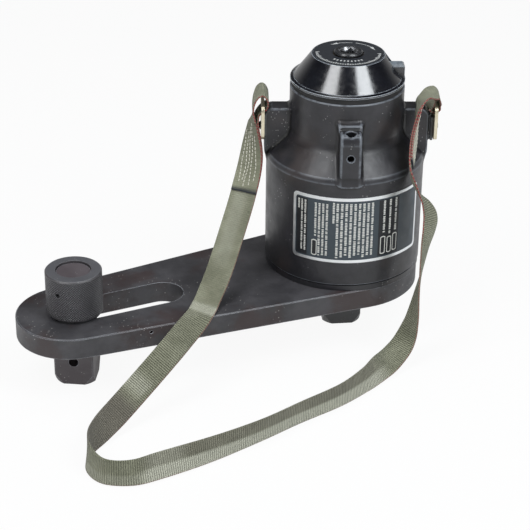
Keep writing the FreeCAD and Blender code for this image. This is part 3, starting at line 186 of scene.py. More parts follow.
def cast_black():
    """Matt black paint on a casting: orange peel, brown patches, dust, edges lightened by wear and by a
    painted highlight, painted shade in the roots.
    """
    s = Shader("case_black", IOR=1.6)
    clouds = s.spread(s.noise(38, 5, 0.6), 0.38, 0.64)
    color = s.mix(clouds, (0.012, 0.012, 0.015), (0.023, 0.022, 0.027))
    color = s.mix(s.spread(s.noise(15, 3), 0.52, 0.68), color, (0.028, 0.021, 0.021))
    bend = s.attribute("bend")
    # Outward bends lightened in patches: paint wear, and also a painted highlight on the edges.
    rub_and_highlight = s.times(s.spread(bend, 0.08, 0.45), s.spread(s.noise(150, 4), 0.22, 0.55))
    color = s.mix(s.times(rub_and_highlight, 0.7), color, (0.20, 0.22, 0.25))
    # Painted shade: inward bends, the roots and fillets, darkened to near black.
    color = s.mix(s.spread(bend, -0.08, -0.3), color, (0.004, 0.004, 0.005))
    color = s.mix(s.specks(330, 0.17, 0.45), color, (0.46, 0.45, 0.44))
    rough = s.drift(70, 4, 0.33, 0.46)
    normal = s.bump(s.noise(850, 3), 0.2, 0.0004)
    normal = s.bump(s.noise(210, 2), 0.16, 0.0009, normal)
    return s.finish(color, rough, normal)


def phosphate(name, base, light, blotch, blotches, sweep):
    """Phosphated steel: cloudy grey, brown oil stains, pale edges from wear and from a painted
    highlight, scuffs along one way.
    """
    s = Shader(name, IOR=1.6)
    color = s.mix(s.spread(s.noise(26, 6, 0.62), 0.36, 0.66), base, light)
    darker_half = s.noise(19, 5, 0.58, s.scaled(s.where, (1, 1, 1), (0.31, 0.2, 0.1)))
    color = s.mix(s.times(s.spread(darker_half, blotches, blotches + 0.16), 0.7), color, blotch)
    streak = s.noise(60, 5, 0.7, s.scaled(s.where, sweep))
    color = s.mix(s.spread(streak, 0.6, 0.85, 0.0, 0.3), color, tuple(c * 2.2 for c in light))
    # Sharp edges lightened in patches: wear, and also a painted highlight along the edges.
    rub_and_highlight = s.times(s.edges(0.0012), s.spread(s.noise(110, 5, 0.6), 0.18, 0.5))
    color = s.mix(s.times(rub_and_highlight, 0.7), color, (0.42, 0.44, 0.48))
    color = s.mix(s.specks(260, 0.15, 0.47), color, (0.5, 0.48, 0.46))
    rough = s.drift(45, 5, 0.4, 0.56)
    normal = s.bump(s.noise(1100, 2), 0.16, 0.0003, s.soft(0.0007))
    normal = s.bump(streak, 0.1, 0.0004, normal)
    return s.finish(color, rough, normal)


KNURL_LINES = 68
KNURL_MARGIN = 1.8
NUT_RING_R = 17.0


def knurl():
    """Black oxide with a diamond knurl round the nut's side, painted shade in its grooves and painted
    highlights on its crests, and a paler ring on its top.
    """
    s = Shader("nut_oxide", IOR=1.7)
    x, y, z = s.split(s.scaled(s.where, (1000, 1000, 1000), (-POST_X, 0, 0)))
    around = s.times(s.math("ARCTAN2", y, x), NUT_R)
    pitch = math.tau * NUT_R / KNURL_LINES
    lines = []
    for sign in (1, -1):
        slanted = s.math("MULTIPLY_ADD", z, sign, around)
        lines.append(s.math("ABSOLUTE", s.wave(slanted, 2 * pitch)))
    radius = s.math("SQRT", s.math("MULTIPLY_ADD", x, x, s.times(y, y)))
    low, high = NUT_Z[0] + KNURL_MARGIN, NUT_Z[1] - KNURL_MARGIN
    band = s.times(s.spread(z, low, low + 0.6), s.spread(z, high, high - 0.6))
    band = s.times(band, s.spread(radius, NUT_R - 0.6, NUT_R - 0.3))
    peak = s.times(s.math("MINIMUM", lines[0], lines[1]), band)
    clouds = s.spread(s.noise(40, 5), 0.35, 0.65)
    color = s.mix(clouds, (0.040, 0.038, 0.042), (0.060, 0.054, 0.059))
    # Painted shade in the knurl's grooves.
    color = s.mix(s.times(band, s.spread(peak, 0.42, 0.05)), color, (0.012, 0.012, 0.013))
    # Painted highlight on the knurl's crests.
    color = s.mix(s.times(s.spread(peak, 0.5, 0.9), 0.7), color, (0.17, 0.17, 0.185))
    top = s.spread(z, NUT_Z[1] - 0.3, NUT_Z[1] - 0.1)
    top = s.times(top, s.spread(radius, NUT_RING_R, NUT_RING_R + 0.4))
    color = s.mix(s.times(top, 0.6), color, (0.115, 0.118, 0.130))
    color = s.wear_and_highlight_edges(color, 0.001, 0.5, (0.24, 0.24, 0.26))
    color = s.mix(s.specks(300, 0.14, 0.48), color, (0.45, 0.44, 0.43))
    normal = s.bump(s.noise(900, 2), 0.1, 0.0003, s.bump(peak, 1.0, 0.0006, s.soft(0.0007)))
    return s.finish(color, s.drift(60, 4, 0.38, 0.52), normal)


def dark_steel(name, base, rough, index=1.8):
    """Blackened machined steel with turning marks and bright rubbed edges."""
    s = Shader(name, IOR=index)
    color = s.mix(s.spread(s.noise(70, 5), 0.35, 0.65), base, tuple(c * 1.7 for c in base))
    color = s.wear_and_highlight_edges(color, 0.0006, 0.4, (0.22, 0.22, 0.23))
    color = s.mix(s.specks(500, 0.12, 0.42), color, (0.4, 0.4, 0.4))
    turning = s.noise(500, 3, 0.5, s.scaled(s.where, (0.2, 0.2, 6)))
    marks = s.bump(turning, 0.08, 0.0002, s.soft(0.0004))
    return s.finish(color, s.drift(120, 4, rough - 0.06, rough + 0.08), marks)


def bright_metal(name, base, rough, tint):
    """Bare or plated metal with fine marks and dull patches."""
    s = Shader(name, Metallic=1.0)
    color = s.mix(s.spread(s.noise(60, 5, 0.6), 0.35, 0.7), base, tint)
    color = s.wear_and_highlight_edges(color, 0.0005, 0.4, tuple(min(1, c * 1.35) for c in base))
    grain = s.noise(700, 4, 0.6, s.scaled(s.where, (1, 1, 5)))
    marks = s.bump(grain, 0.12, 0.0002, s.soft(0.0004))
    return s.finish(color, s.drift(90, 4, rough - 0.07, rough + 0.1), marks)


FLANGE_DUST = (0.2745, 0.2655)    # heights in metres, from clean to dusty


def cover_gloss():
    """Polished black cover: deep reflections, faint turning marks, dust at the flange, a painted
    highlight along its sharp edges.
    """
    s = Shader("cover_gloss", IOR=2.0)
    height = s.split(s.where)[2]
    color = s.mix(s.spread(s.noise(55, 5), 0.35, 0.7), (0.0025, 0.003, 0.006), (0.005, 0.006, 0.010))
    dust = s.times(s.specks(420, 0.15, 0.52), s.spread(height, *FLANGE_DUST))
    color = s.mix(dust, color, (0.4, 0.39, 0.37))
    # Painted highlight: sharp edges, the flange's lip among them, tinted pale blue like a reflection of
    # the sky.
    color = s.wear_and_highlight_edges(color, 0.0012, 0.9, (0.60, 0.66, 0.73))
    marks = s.noise(1400, 2, 0.5, s.scaled(s.where, (0.05, 0.05, 1)))
    rough = s.spread(s.noise(240, 5, 0.7), 0.3, 0.75, 0.13, 0.24)
    return s.finish(color, rough, s.bump(marks, 0.05, 0.0001, s.soft(0.0011)))


SQUARE_REACH = (0.0098, 0.0090)   # metres from the axis, from black to bare
SQUARE_DEPTH = (0.2922, 0.2916)   # heights in metres, from black to bare


def input_steel():
    """Black oxide on the input hub, bright steel in its square."""
    s = Shader("input_steel", IOR=1.9)
    x, y, z = s.split(s.where)
    radius = s.math("SQRT", s.math("MULTIPLY_ADD", x, x, s.times(y, y)))
    bare = s.times(s.spread(radius, *SQUARE_REACH), s.spread(z, *SQUARE_DEPTH))
    color = s.mix(s.spread(s.noise(70, 5), 0.35, 0.65), (0.007, 0.008, 0.010), (0.014, 0.015, 0.018))
    color = s.wear_and_highlight_edges(color, 0.0006, 0.5, (0.25, 0.26, 0.28))
    color = s.mix(bare, color, (0.52, 0.53, 0.55))
    s.put(s.bsdf.inputs["Metallic"], bare)
    normal = s.bump(s.noise(600, 3), 0.06, 0.0002, s.soft(0.0005))
    return s.finish(color, s.drift(120, 4, 0.2, 0.34), normal)


def lever_steel():
    """Black oxide lever: its top turned grey in patches as a painted reflection, its sharp edges such
    as the round end turned grey as a painted highlight.
    """
    s = Shader("lever_steel", IOR=1.9)
    upward = s.split(s.add("ShaderNodeNewGeometry").outputs["Normal"])[2]
    # Painted reflection: upward faces lightened, broken up by noise.
    lightened = s.times(s.spread(upward, 0.5, 0.9), s.spread(s.noise(90, 5, 0.6), 0.25, 0.5))
    # Painted highlight along sharp edges, such as the round end.
    lightened = s.math("MAXIMUM", lightened, s.times(s.edges(0.0012), 0.8))
    color = s.mix(s.times(lightened, 0.9), (0.010, 0.011, 0.014), (0.23, 0.27, 0.31))
    normal = s.bump(s.noise(700, 3, 0.5, s.scaled(s.where, (1, 4, 4))), 0.08, 0.0002, s.soft(0.0008))
    return s.finish(color, s.drift(120, 4, 0.24, 0.36), normal)


def rubber():
    """Black rubber with a faint grain."""
    s = Shader("seal_rubber")
    color = s.mix(s.noise(120, 4), (0.012, 0.012, 0.013), (0.022, 0.021, 0.021))
    rough = s.drift(80, 3, 0.6, 0.75)
    return s.finish(color, rough, s.bump(s.noise(900, 2), 0.15, 0.0003))


def paint(name, base, rough, scuff, amount):
    """Printed colour on a plate, slightly scuffed."""
    s = Shader(name)
    color = s.mix(s.spread(s.noise(160, 5, 0.65), 0.55, 0.8, 0.0, amount), base, scuff)
    drift = s.drift(90, 3, rough - 0.06, rough + 0.08)
    return s.finish(color, drift, s.bump(s.noise(500, 2), 0.05, 0.0002))


MATERIALS = {
    "case_black": cast_black(),
    "bar_phosphate": phosphate("bar_phosphate", (0.036, 0.035, 0.039), (0.066, 0.064, 0.070),
                               (0.040, 0.022, 0.021), 0.5, (0.25, 3, 3)),
    "post_phosphate": phosphate("post_phosphate", (0.078, 0.064, 0.070), (0.110, 0.094, 0.102),
                                (0.06, 0.042, 0.042), 0.58, (3, 3, 0.25)),
    "nut_oxide": knurl(),
    "black_oxide": dark_steel("black_oxide", (0.010, 0.011, 0.013), 0.32),
    "gear_steel": bright_metal("gear_steel", (0.42, 0.42, 0.43), 0.32, (0.30, 0.30, 0.31)),
    "machined_steel": bright_metal("machined_steel", (0.50, 0.50, 0.51), 0.28, (0.38, 0.38, 0.39)),
    "bronze": bright_metal("bronze", (0.62, 0.42, 0.20), 0.32, (0.45, 0.29, 0.14)),
    "seal_rubber": rubber(),
    "cover_gloss": cover_gloss(),
    "label_metal": bright_metal("label_metal", (0.93, 0.95, 0.96), 0.42, (0.86, 0.88, 0.90)),
    "zinc_plate": bright_metal("zinc_plate", (0.86, 0.79, 0.61), 0.38, (0.74, 0.66, 0.49)),
}
# Nodes with a finish of their own
OWN_MATERIALS = {
    "input_shaft": input_steel(),
    "selector_lever": lever_steel(),
    "cover_bush": bright_metal("oiled_bronze", (0.12, 0.09, 0.06), 0.5, (0.06, 0.05, 0.04)),
    # Painted shade: the set screw, sunk in its hole, is near black to stand for the dark hole.
    "nut_set_screw": dark_steel("set_screw_painted_shade", (0.002, 0.002, 0.002), 0.5, 1.3),
}
for row in frame["record"]["subparts"]:
    material = OWN_MATERIALS.get(row["node"], MATERIALS.get(row["material_slot"]))
    if material:
        mesh = NODES[row["node"]].data
        mesh.materials.clear()
        mesh.materials.append(material)


# Mesh building

def linked(name, data):
    obj = bpy.data.objects.new(name, data)
    bpy.context.scene.collection.objects.link(obj)
    return obj


def new_object(name, mesh, material):
    """A piece that rides on the housing, as all of the scene's own pieces do."""
    obj = linked(name, mesh)
    mesh.materials.append(material)
    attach(obj, "housing")
    return obj


def mesh_of(name, verts, faces, smooth=True):
    mesh = bpy.data.meshes.new(name)
    mesh.from_pydata(verts, [], faces)
    mesh.polygons.foreach_set("use_smooth", [smooth] * len(faces))
    mesh.update()
    return mesh


THREAD_R = 0.00048
BEAD_SIDES = 6
BEAD_RINGS = ((0.0, 0.35), (0.2, 0.95), (0.5, 1.0), (0.8, 0.95), (1.0, 0.35))


def bead(verts, faces, start, end, up):
    """One thread stitch: a thin spindle from start to end, standing on the cloth."""
    n = BEAD_SIDES
    along = (end - start).normalized()
    side = along.cross(up).normalized()
    first = len(verts)
    for t, grow in BEAD_RINGS:
        middle = start.lerp(end, t)
        for k in range(n):
            a = math.tau * k / n
            verts.append(middle + (side * math.cos(a) + up * math.sin(a)) * THREAD_R * grow)
    last = first + n * (len(BEAD_RINGS) - 1)
    for ring in range(first, last, n):
        for k in range(n):
            a, b = ring + k, ring + (k + 1) % n
            faces.append((a, b, b + n, a + n))
    faces.append(tuple(first + k for k in range(n - 1, -1, -1)))
    faces.append(tuple(last + k for k in range(n)))


# Cast case with soft corners, found from distances to its simple shapes

SKIN_Z = (175.0, 256.0)
SKIN_STEP = 1.0
SKIN_REACH = 84
# How far apart the distance is probed to find the surface, its normal and its bend
FIND_STEP, NORMAL_STEP, BEND_STEP = 0.02, 0.15, 0.9
FIND_ROUNDS = 4
LATHE_SIDES = 256
# Ledge behind the socket, spacer on the right lug, socket and its cross pin, turned edges
LEDGE_REACH = 8.0
LEDGE_RISE = 5.0
LEDGE_HALF = 12.0
SPACER_HALF = (2.0, 9.25, 13.5)
SPACER_Z = 216.0
SOCKET_R = 5.0
SOCKET_DEPTH = 34.0
PIN_R = 3.25
PIN_DROP = 23.0
GROOVE = (1.6, 1.5)
NECK_EDGE = 0.8


def round_union(a, b, radius):
    corner = np.hypot(np.maximum(radius - a, 0), np.maximum(radius - b, 0))
    return np.maximum(radius, np.minimum(a, b)) - corner


def round_meet(a, b, radius):
    corner = np.hypot(np.maximum(radius + a, 0), np.maximum(radius + b, 0))
    return np.minimum(-radius, np.maximum(a, b)) + corner


def beyond(a, b, first, second):
    """Distance outside a line through two points, with the solid on its left."""
    run, rise = second[0] - first[0], second[1] - first[1]
    return ((a - first[0]) * rise - (b - first[1]) * run) / math.hypot(run, rise)


def rib_distance(out, side, z):
    """Handle rib with its nose, and the wider ledge behind the socket."""
    nose = beyond(out, z, (CASE_R, RIB_TOP - 5.5), (CASE_R - 4, RIB_TOP))
    rib = round_meet(round_meet(out - CASE_R, nose, 3.0), z - RIB_TOP, 2.0)
    rib = round_meet(np.maximum(rib, BODY_TOP - 4 - z), side - RIB_HALF, 2.5)
    reach, top = NECK_R + LEDGE_REACH, RIB_TOP + LEDGE_RISE
    slope = beyond(out, z, (reach, top - 3.5), (reach - 3.5, top))
    ledge = round_meet(round_meet(out - reach, slope, 3.5), z - top, 2.5)
    ledge = round_meet(ledge, side - LEDGE_HALF, 3.0)
    under = beyond(side, z, (RIB_HALF, RIB_TOP - 6), (LEDGE_HALF, RIB_TOP - 1.5))
    return round_union(rib, round_meet(ledge, under, 2.5), 2.0)


def lug_distance(out, side, z):
    """Strap lug, sloped back to the body at its foot."""
    upper = beyond(out, z, (LUG_R, RIB_TOP - 5), (LUG_R - 5, RIB_TOP))
    foot = beyond(out, z, (CASE_R - 1, BODY_TOP - 5.9), (LUG_R, BODY_TOP - 0.2))
    lug = round_meet(round_meet(out - LUG_R, upper, 3.0), z - RIB_TOP, 2.0)
    return round_meet(round_meet(lug, foot, 2.0), side - RIB_HALF, 1.8)


def case_distance(x, y, z):
    """Distance from the outside of the cast case, negative in its metal."""
    r = np.hypot(x, y)
    body = round_meet(r - CASE_R, beyond(r, z, (CASE_R, BODY_TOP), SHOULDER), 2.6)
    shape = round_union(body, r - NECK_R, 4.0)
    turn = math.radians(RIB_TURN)
    front = x * math.cos(turn) + y * math.sin(turn)
    right = y * math.cos(turn) - x * math.sin(turn)
    out, side = np.abs(front), np.abs(right)
    shape = round_union(shape, rib_distance(out, side, z), 4.0)
    shape = round_union(shape, lug_distance(side, out, z), 3.5)
    deep, wide, tall = SPACER_HALF
    spacer = np.maximum(out - wide, np.abs(z - SPACER_Z) - tall)
    shape = np.minimum(shape, np.maximum(np.abs(right - LUG_R) - deep, spacer))
    socket = np.maximum(np.hypot(out - SOCKET_OUT, right) - SOCKET_R, RIB_TOP - SOCKET_DEPTH - z)
    shape = round_meet(shape, -socket, 0.7)
    pin = np.maximum(np.hypot(right, z - RIB_TOP + PIN_DROP) - PIN_R, SOCKET_OUT - out)
    return round_meet(shape, -pin, 0.5)


def slope_of(places, step):
    """Distance, its gradient, and how strongly the surface bends (outward positive)."""
    ways = np.eye(3) * step
    ahead = [case_distance(*(places + way).T) for way in ways]
    behind = [case_distance(*(places - way).T) for way in ways]
    slope = np.stack([a - b for a, b in zip(ahead, behind)], axis=1) / (2 * step)
    middle = case_distance(*places.T)
    return middle, slope, (sum(ahead) + sum(behind) - 6 * middle) / step ** 2


def crossings(distance, cell):
    """Mean place where the surface crosses the edges of each cell, in cells."""
    total, hits = np.zeros((len(cell), 3)), np.zeros(len(cell))
    for corner in np.ndindex(2, 2, 2):
        for axis in range(3):
            if corner[axis]:
                continue
            way = np.eye(3, dtype=int)[axis]
            near = distance[tuple((cell + corner).T)]
            far = distance[tuple((cell + corner + way).T)]
            cross = (near < 0) != (far < 0)
            share = np.where(cross, near / np.where(cross, near - far, 1), 0)
            total += (np.array(corner) + np.outer(share, way)) * cross[:, None]
            hits += cross
    return cell + total / hits[:, None]


def surface_net():
    """Vertices and quads of the skin, one vertex for each grid cell that it crosses."""
    line = np.arange(-SKIN_REACH, SKIN_REACH + 0.01, SKIN_STEP)
    tall = np.arange(SKIN_Z[0] - 1.5 * SKIN_STEP, SKIN_Z[1] + 1.6 * SKIN_STEP, SKIN_STEP)
    distance = case_distance(*np.meshgrid(line, line, tall, indexing="ij"))
    inside = (distance < 0).astype(np.int8)
    size = np.array(distance.shape) - 1
    count = np.zeros(size, dtype=np.int8)
    for i, j, k in np.ndindex(2, 2, 2):
        count += inside[i:i + size[0], j:j + size[1], k:k + size[2]]
    active = (count > 0) & (count < 8)
    cell = np.argwhere(active)
    number = np.full(size, -1)
    number[active] = np.arange(len(cell))
    quads = []
    for axis in range(3):
        change = -np.diff(inside, axis=axis)
        where = np.argwhere(change)
        b, c = (axis + 1) % 3, (axis + 2) % 3
        place = where[:, [b, c]]
        where = where[((place > 0) & (place < size[[b, c]])).all(axis=1)]
        eb, ec = np.eye(3, dtype=int)[[b, c]]
        around = ((1, 1), (0, 1), (0, 0), (1, 0))
        ring = [number[tuple((where - s * eb - t * ec).T)] for s, t in around]
        quad = np.stack(ring, axis=1)
        back = change[tuple(where.T)] < 0
        quad[back] = quad[back][:, ::-1]
        quads.append(quad)
    places = crossings(distance, cell) * SKIN_STEP + (line[0], line[0], tall[0])
    return places, np.concatenate(quads)


def lathe(verts, faces, normals, points):
    """Turned strips through (radius, height) points, the solid on their left."""
    for (r0, z0), (r1, z1) in zip(points, points[1:]):
        first = len(verts)
        length = math.hypot(r1 - r0, z1 - z0)
        for k in range(LATHE_SIDES):
            turn = math.tau * k / LATHE_SIDES
            c, s = math.cos(turn), math.sin(turn)
            verts += [(r0 * c, r0 * s, z0), (r1 * c, r1 * s, z1)]
            normals += [(c * (z1 - z0) / length, s * (z1 - z0) / length, (r0 - r1) / length)] * 2
        for k in range(LATHE_SIDES):
            a, b = first + 2 * k, first + 2 * ((k + 1) % LATHE_SIDES)
            faces.append((a, b, b + 1, a + 1))


def build_case():
    """The cast case: soft skin from the shoulder to the neck, turned surfaces elsewhere."""
    places, quads = surface_net()
    for _ in range(FIND_ROUNDS):
        middle, slope, _ = slope_of(places, FIND_STEP)
        steep = np.maximum((slope ** 2).sum(axis=1), 0.1)
        places -= slope * (middle / steep)[:, None]
    heights = places[:, 2][quads]
    quads = quads[(heights.max(axis=1) > SKIN_Z[0]) & (heights.min(axis=1) < SKIN_Z[1])]
    places[:, 2] = np.clip(places[:, 2], *SKIN_Z)
    _, slope, _ = slope_of(places, NORMAL_STEP)
    _, _, bend = slope_of(places, BEND_STEP)
    normals = slope / np.linalg.norm(slope, axis=1, keepdims=True)
    plate_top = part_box("stage_plate")[1][2] / MM
    groove_r, groove_top = CASE_R - GROOVE[0], RING_TOP + GROOVE[1]
    # Over the neck, down the bore and its seats, and up the outside
    outline = [
        (NECK_R, SKIN_Z[1]), (NECK_R, NECK_TOP - NECK_EDGE), (NECK_R - NECK_EDGE, NECK_TOP),
        (NECK_BORE, NECK_TOP), (NECK_BORE, 192), (NECK_BORE - 4, 192), (NECK_BORE - 4, 186),
        (CASE_BORE - 4, 174), (CASE_BORE - 4, plate_top), (CASE_BORE, plate_top),
        (CASE_BORE, RING_TOP), (groove_r, RING_TOP), (groove_r, groove_top), (CASE_R, groove_top),
        (CASE_R, RING_TOP + 2.3), (CASE_R, SKIN_Z[0]),
    ]
    verts, faces, turned = [], [], []
    lathe(verts, faces, turned, outline)
    shift = len(places)
    all_verts = [tuple(p) for p in places * MM] + [tuple(c * MM for c in v) for v in verts]
    all_faces = quads.tolist() + [tuple(i + shift for i in face) for face in faces]
    mesh = mesh_of("case_casting", all_verts, all_faces)
    mesh.normals_split_custom_set_from_vertices([tuple(n) for n in normals] + turned)
    lightened = [0.5 if abs(z - groove_top) < 0.1 or z > NECK_TOP - 1 else 0.0 for _, _, z in verts]
    values = np.concatenate([bend, lightened]).astype(np.float32)
    mesh.attributes.new("bend", "FLOAT", "POINT").data.foreach_set("value", values)
    obj = new_object("case_casting", mesh, MATERIALS["case_black"])
    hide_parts("gear_case")


build_case()


# Carrying strap: middle of the webbing and the way to its plain edge; the other edge has red thread

STRAP_DOWN = (
    ((-84.8, 31.8, 218), (1, 12, -4)),
    ((-93, 20, 185), (-8, 10, 0)),
    ((-110, 3, 156), (-10, 7, 3)),
    ((-130, -15, 128), (-10, 6, 4)),
    ((-150, -31, 99), (-10, 7, 4)),
    ((-165, -41, 80), (-9, 9, 2)),
)
STRAP_OVER_BAR = (
    ((-174, -50, 4.5), (-9, 9, 2)),
    ((-185, -61, 2), (-8, 9, 3)),
    ((-193, -66, -1.5), (-8, 8, 5)),
    ((-202, -71, -5.5), (-7, 7, 7)),
)
STRAP_TO_FLOOR = (
    ((-222, -82, 56), (-7, 7, 7)),
    ((-254, -92, 35), (-7, 8, 7)),
    ((-286, -105, 18), (-7, 8, 8)),
    ((-307, -119, 13.5), (-5, 5, 11)),
    ((-325, -137, 13.3), (-0.5, 1, 12.5)),
)
STRAP_ON_FLOOR = (
    ((-334, -160, 13.2), (3.5, 0, 12.6)),
    ((-328.5, -183, 13.3), (2.2, 0, 13)),
    ((-307, -195, 13.3), (0, 2, 13)),
    ((-282, -195, 13.3), (0, 5, 12)),
    ((-231, -191, 13.3), (0, 2, 13)),
    ((-181, -183, 13.3), (0, -1, 13)),
    ((-131, -170, 13.3), (0, -1, 13)),
    ((-81, -158, 13.3), (0, 0, 13)),
    ((-46, -143.5, 13.2), (-1, 3, 12.4)),
)
STRAP_UP = (
    ((-24, -130, 12.5), (-3, 7, 9.5)),
    ((-5, -118, 12), (-5, 10, 5)),
    ((13, -110, 21), (-5, 12, 1.5)),
    ((23, -108, 42), (0, 13, -1)),
    ((30, -106, 79), (6, 11, -1)),
    ((35, -105, 117), (9, 8, -1)),
    ((39, -105, 142), (11, 5, -2)),
    ((40, -102, 154), (11, 6, -2)),
    ((38, -96, 164), (9, 8, -4)),
    ((33.5, -89, 172.5), (6, 9, -6)),
    ((29.7, -84.8, 183.8), (4.5, 9.5, -7)),
    ((29, -79, 195.5), (6, 9, -7)),
    ((40.5, -62, 215.5), (7, 7, -7)),
    ((50, -51, 236.6), (4, 10, -7)),
    ((58.2, -45, 245.4), (2.4, 12, -4)),
    ((65, -41, 247.6), (4, 12, 1)),
)
# Loops through the plates: out from the plate's face, along it, up from its top, and tilt
STRAP_LEFT_LOOP = (
    (7.6, 4, -15, 0), (7.8, 2, -7, 0), (6.8, 1.5, 1, 0.06), (3.3, 1, 8.6, 0.18), (-1.5, 0.5, 11.3, 0.2),
    (-5.9, 0.5, 6.0, 0.12), (-6.5, 0.5, -1, 0), (-5.0, 0.5, -4.8, 0), (-1.6, 0.5, -7, 0),
    (3.3, 1.5, -12.8, 0),
)
STRAP_RIGHT_LOOP = (
    (-5.5, -6.0, 9.2, 0.2), (-0.8, -3.8, 8.2, 0.18), (2.0, -2.0, 4.2, 0.05), (2.2, -1, -0.5, 0),
    (2.0, -0.5, -4.6, 0), (-1.6, 0, -7.4, 0), (-6, -0.5, -6.5, 0), (-11.5, -1.5, -1.2, 0),
)
STRAP_TUCK = (
    ((63.2, -38, 243.8), (0, 11, -1)),
    ((59.4, -42.4, 244), (0, 11, -3)),
    ((54.9, -47.3, 241.4), (1.5, 10, -6)),
)
# For the left and right lug: where it points, and how far its plate stands off
LOOP_SIDES = ((156.0, 0.0), (-24.0, 4.4))
# Sections from one station to the next
STEPS = 8
# Stations under the left lap, and before the end where the right lap begins and ends
LEFT_LAP = 2.1
RIGHT_LAP = (4.0, 2.0)
LAP_GAP = 2.0
# Stretches past the end of the free run where the plain edge folds in: (from, to, softness)
TUCK = (47, 92, 10)
TUCK_IN = 0.6
PINCH = (-26, -2, 12)
PINCH_IN = 0.22


def loop_stations(points, side, sign):
    """Stations of a loop, from its points beside the plate."""
    turn, stand_off = LOOP_SIDES[side]
    out = Vector((math.cos(math.radians(turn)), math.sin(math.radians(turn)), 0))
    along = Vector((-out.y, out.x, 0))
    face = LUG_R + stand_off + PLATE_THICK
    return [(out * (face + away) + along * shift + UP * (PLATE_TOP + up), along * sign + UP * tilt)
            for away, shift, up, tilt in points]


def as_stations(rows):
    return [(Vector(middle), Vector(edge).normalized()) for middle, edge in rows]


def free_stations():
    over_bar = tuple(((x, y, z + BAR_TOP), edge) for (x, y, z), edge in STRAP_OVER_BAR)
    return as_stations(STRAP_DOWN + over_bar + STRAP_TO_FLOOR + STRAP_ON_FLOOR + STRAP_UP)


def smooth(points):
    """Points along a smooth line through the given ones."""
    result = []
    for i in range(len(points) - 1):
        p1, p2 = points[i], points[i + 1]
        p0 = points[i - 1] if i else p1 * 2 - p2
        p3 = points[i + 2] if i + 2 < len(points) else p2 * 2 - p1
        span = (p2 - p1).length
        m1 = (p2 - p0) * (span / ((p2 - p1).length + (p1 - p0).length))
        m2 = (p3 - p1) * (span / ((p3 - p2).length + (p2 - p1).length))
        for k in range(STEPS):
            u = k / STEPS
            result.append(p1 * (2 * u ** 3 - 3 * u ** 2 + 1) + m1 * (u ** 3 - 2 * u ** 2 + u)
                          + p2 * (3 * u ** 2 - 2 * u ** 3) + m2 * (u ** 3 - u ** 2))
    return result + [points[-1]]


def blended(directions):
    """Directions that turn evenly from station to station."""
    result = []
    for first, second in zip(directions, directions[1:]):
        result += [first.lerp(second, k / STEPS) for k in range(STEPS)]
    result.append(directions[-1])
    half = STEPS // 2
    sums = []
    for i in range(len(result)):
        reach = min(half, i, len(result) - 1 - i)
        sums.append(sum(result[i - reach:i + reach + 1], Vector()))
    return sums


def curve(rows):
    middles, edges = zip(*rows)
    return list(zip(smooth(middles), blended(edges)))


def squared_up(rows):
    """Middle, way across and normal of each section."""
    result = []
    for i, (middle, edge) in enumerate(rows):
        before, after = rows[max(i - 1, 0)][0], rows[min(i + 1, len(rows) - 1)][0]
        along = (after - before).normalized()
        across = (edge - along * edge.dot(along)).normalized()
        result.append((middle, across, along.cross(across)))
    return result


def strap_sections():
    """Every section of the webbing, and the places where laps and loops begin."""
    flat = squared_up(curve(free_stations()))
    free = [(m, a) for m, a, _ in flat]
    outer = [(m - n * LAP_GAP, a) for m, a, n in flat]
    left_lap = outer[:int(LEFT_LAP * STEPS)][::-1]
    right_lap = outer[-int(RIGHT_LAP[0] * STEPS):-int(RIGHT_LAP[1] * STEPS)][::-1]
    left_way = [left_lap[-1]] + loop_stations(STRAP_LEFT_LOOP, 0, -1) + [free[0]]
    left = curve(left_way)[1:-1]
    right_way = loop_stations(STRAP_RIGHT_LOOP, 1, 1) + as_stations(STRAP_TUCK)
    right = curve([free[-1]] + right_way + [right_lap[0]])[1:-1]
    rows = squared_up(left_lap + left + free + right + right_lap)
    marks = [0, len(left_lap), len(left_lap) + len(left)]
    marks += [marks[-1] + len(free), marks[-1] + len(free) + len(right), len(rows)]
    distance = [0.0]
    for (a, _, _), (b, _, _) in zip(rows, rows[1:]):
        distance.append(distance[-1] + (b - a).length)
    return rows, marks, distance


def hump(x, low, high, soft):
    """1 between low and high, falling to 0 over soft on either side."""
    rise = min(1.0, max(0.0, (x - low) / soft + 1))
    fall = min(1.0, max(0.0, (high - x) / soft + 1))
    return min(rise, fall)


# Pitches and the red edge's place across, in metres
RIB_PITCH = 0.0021
YARN_PITCH = 0.0013
RED_PITCH = 0.0031
RED_EDGE = (-0.0116, -0.0121)


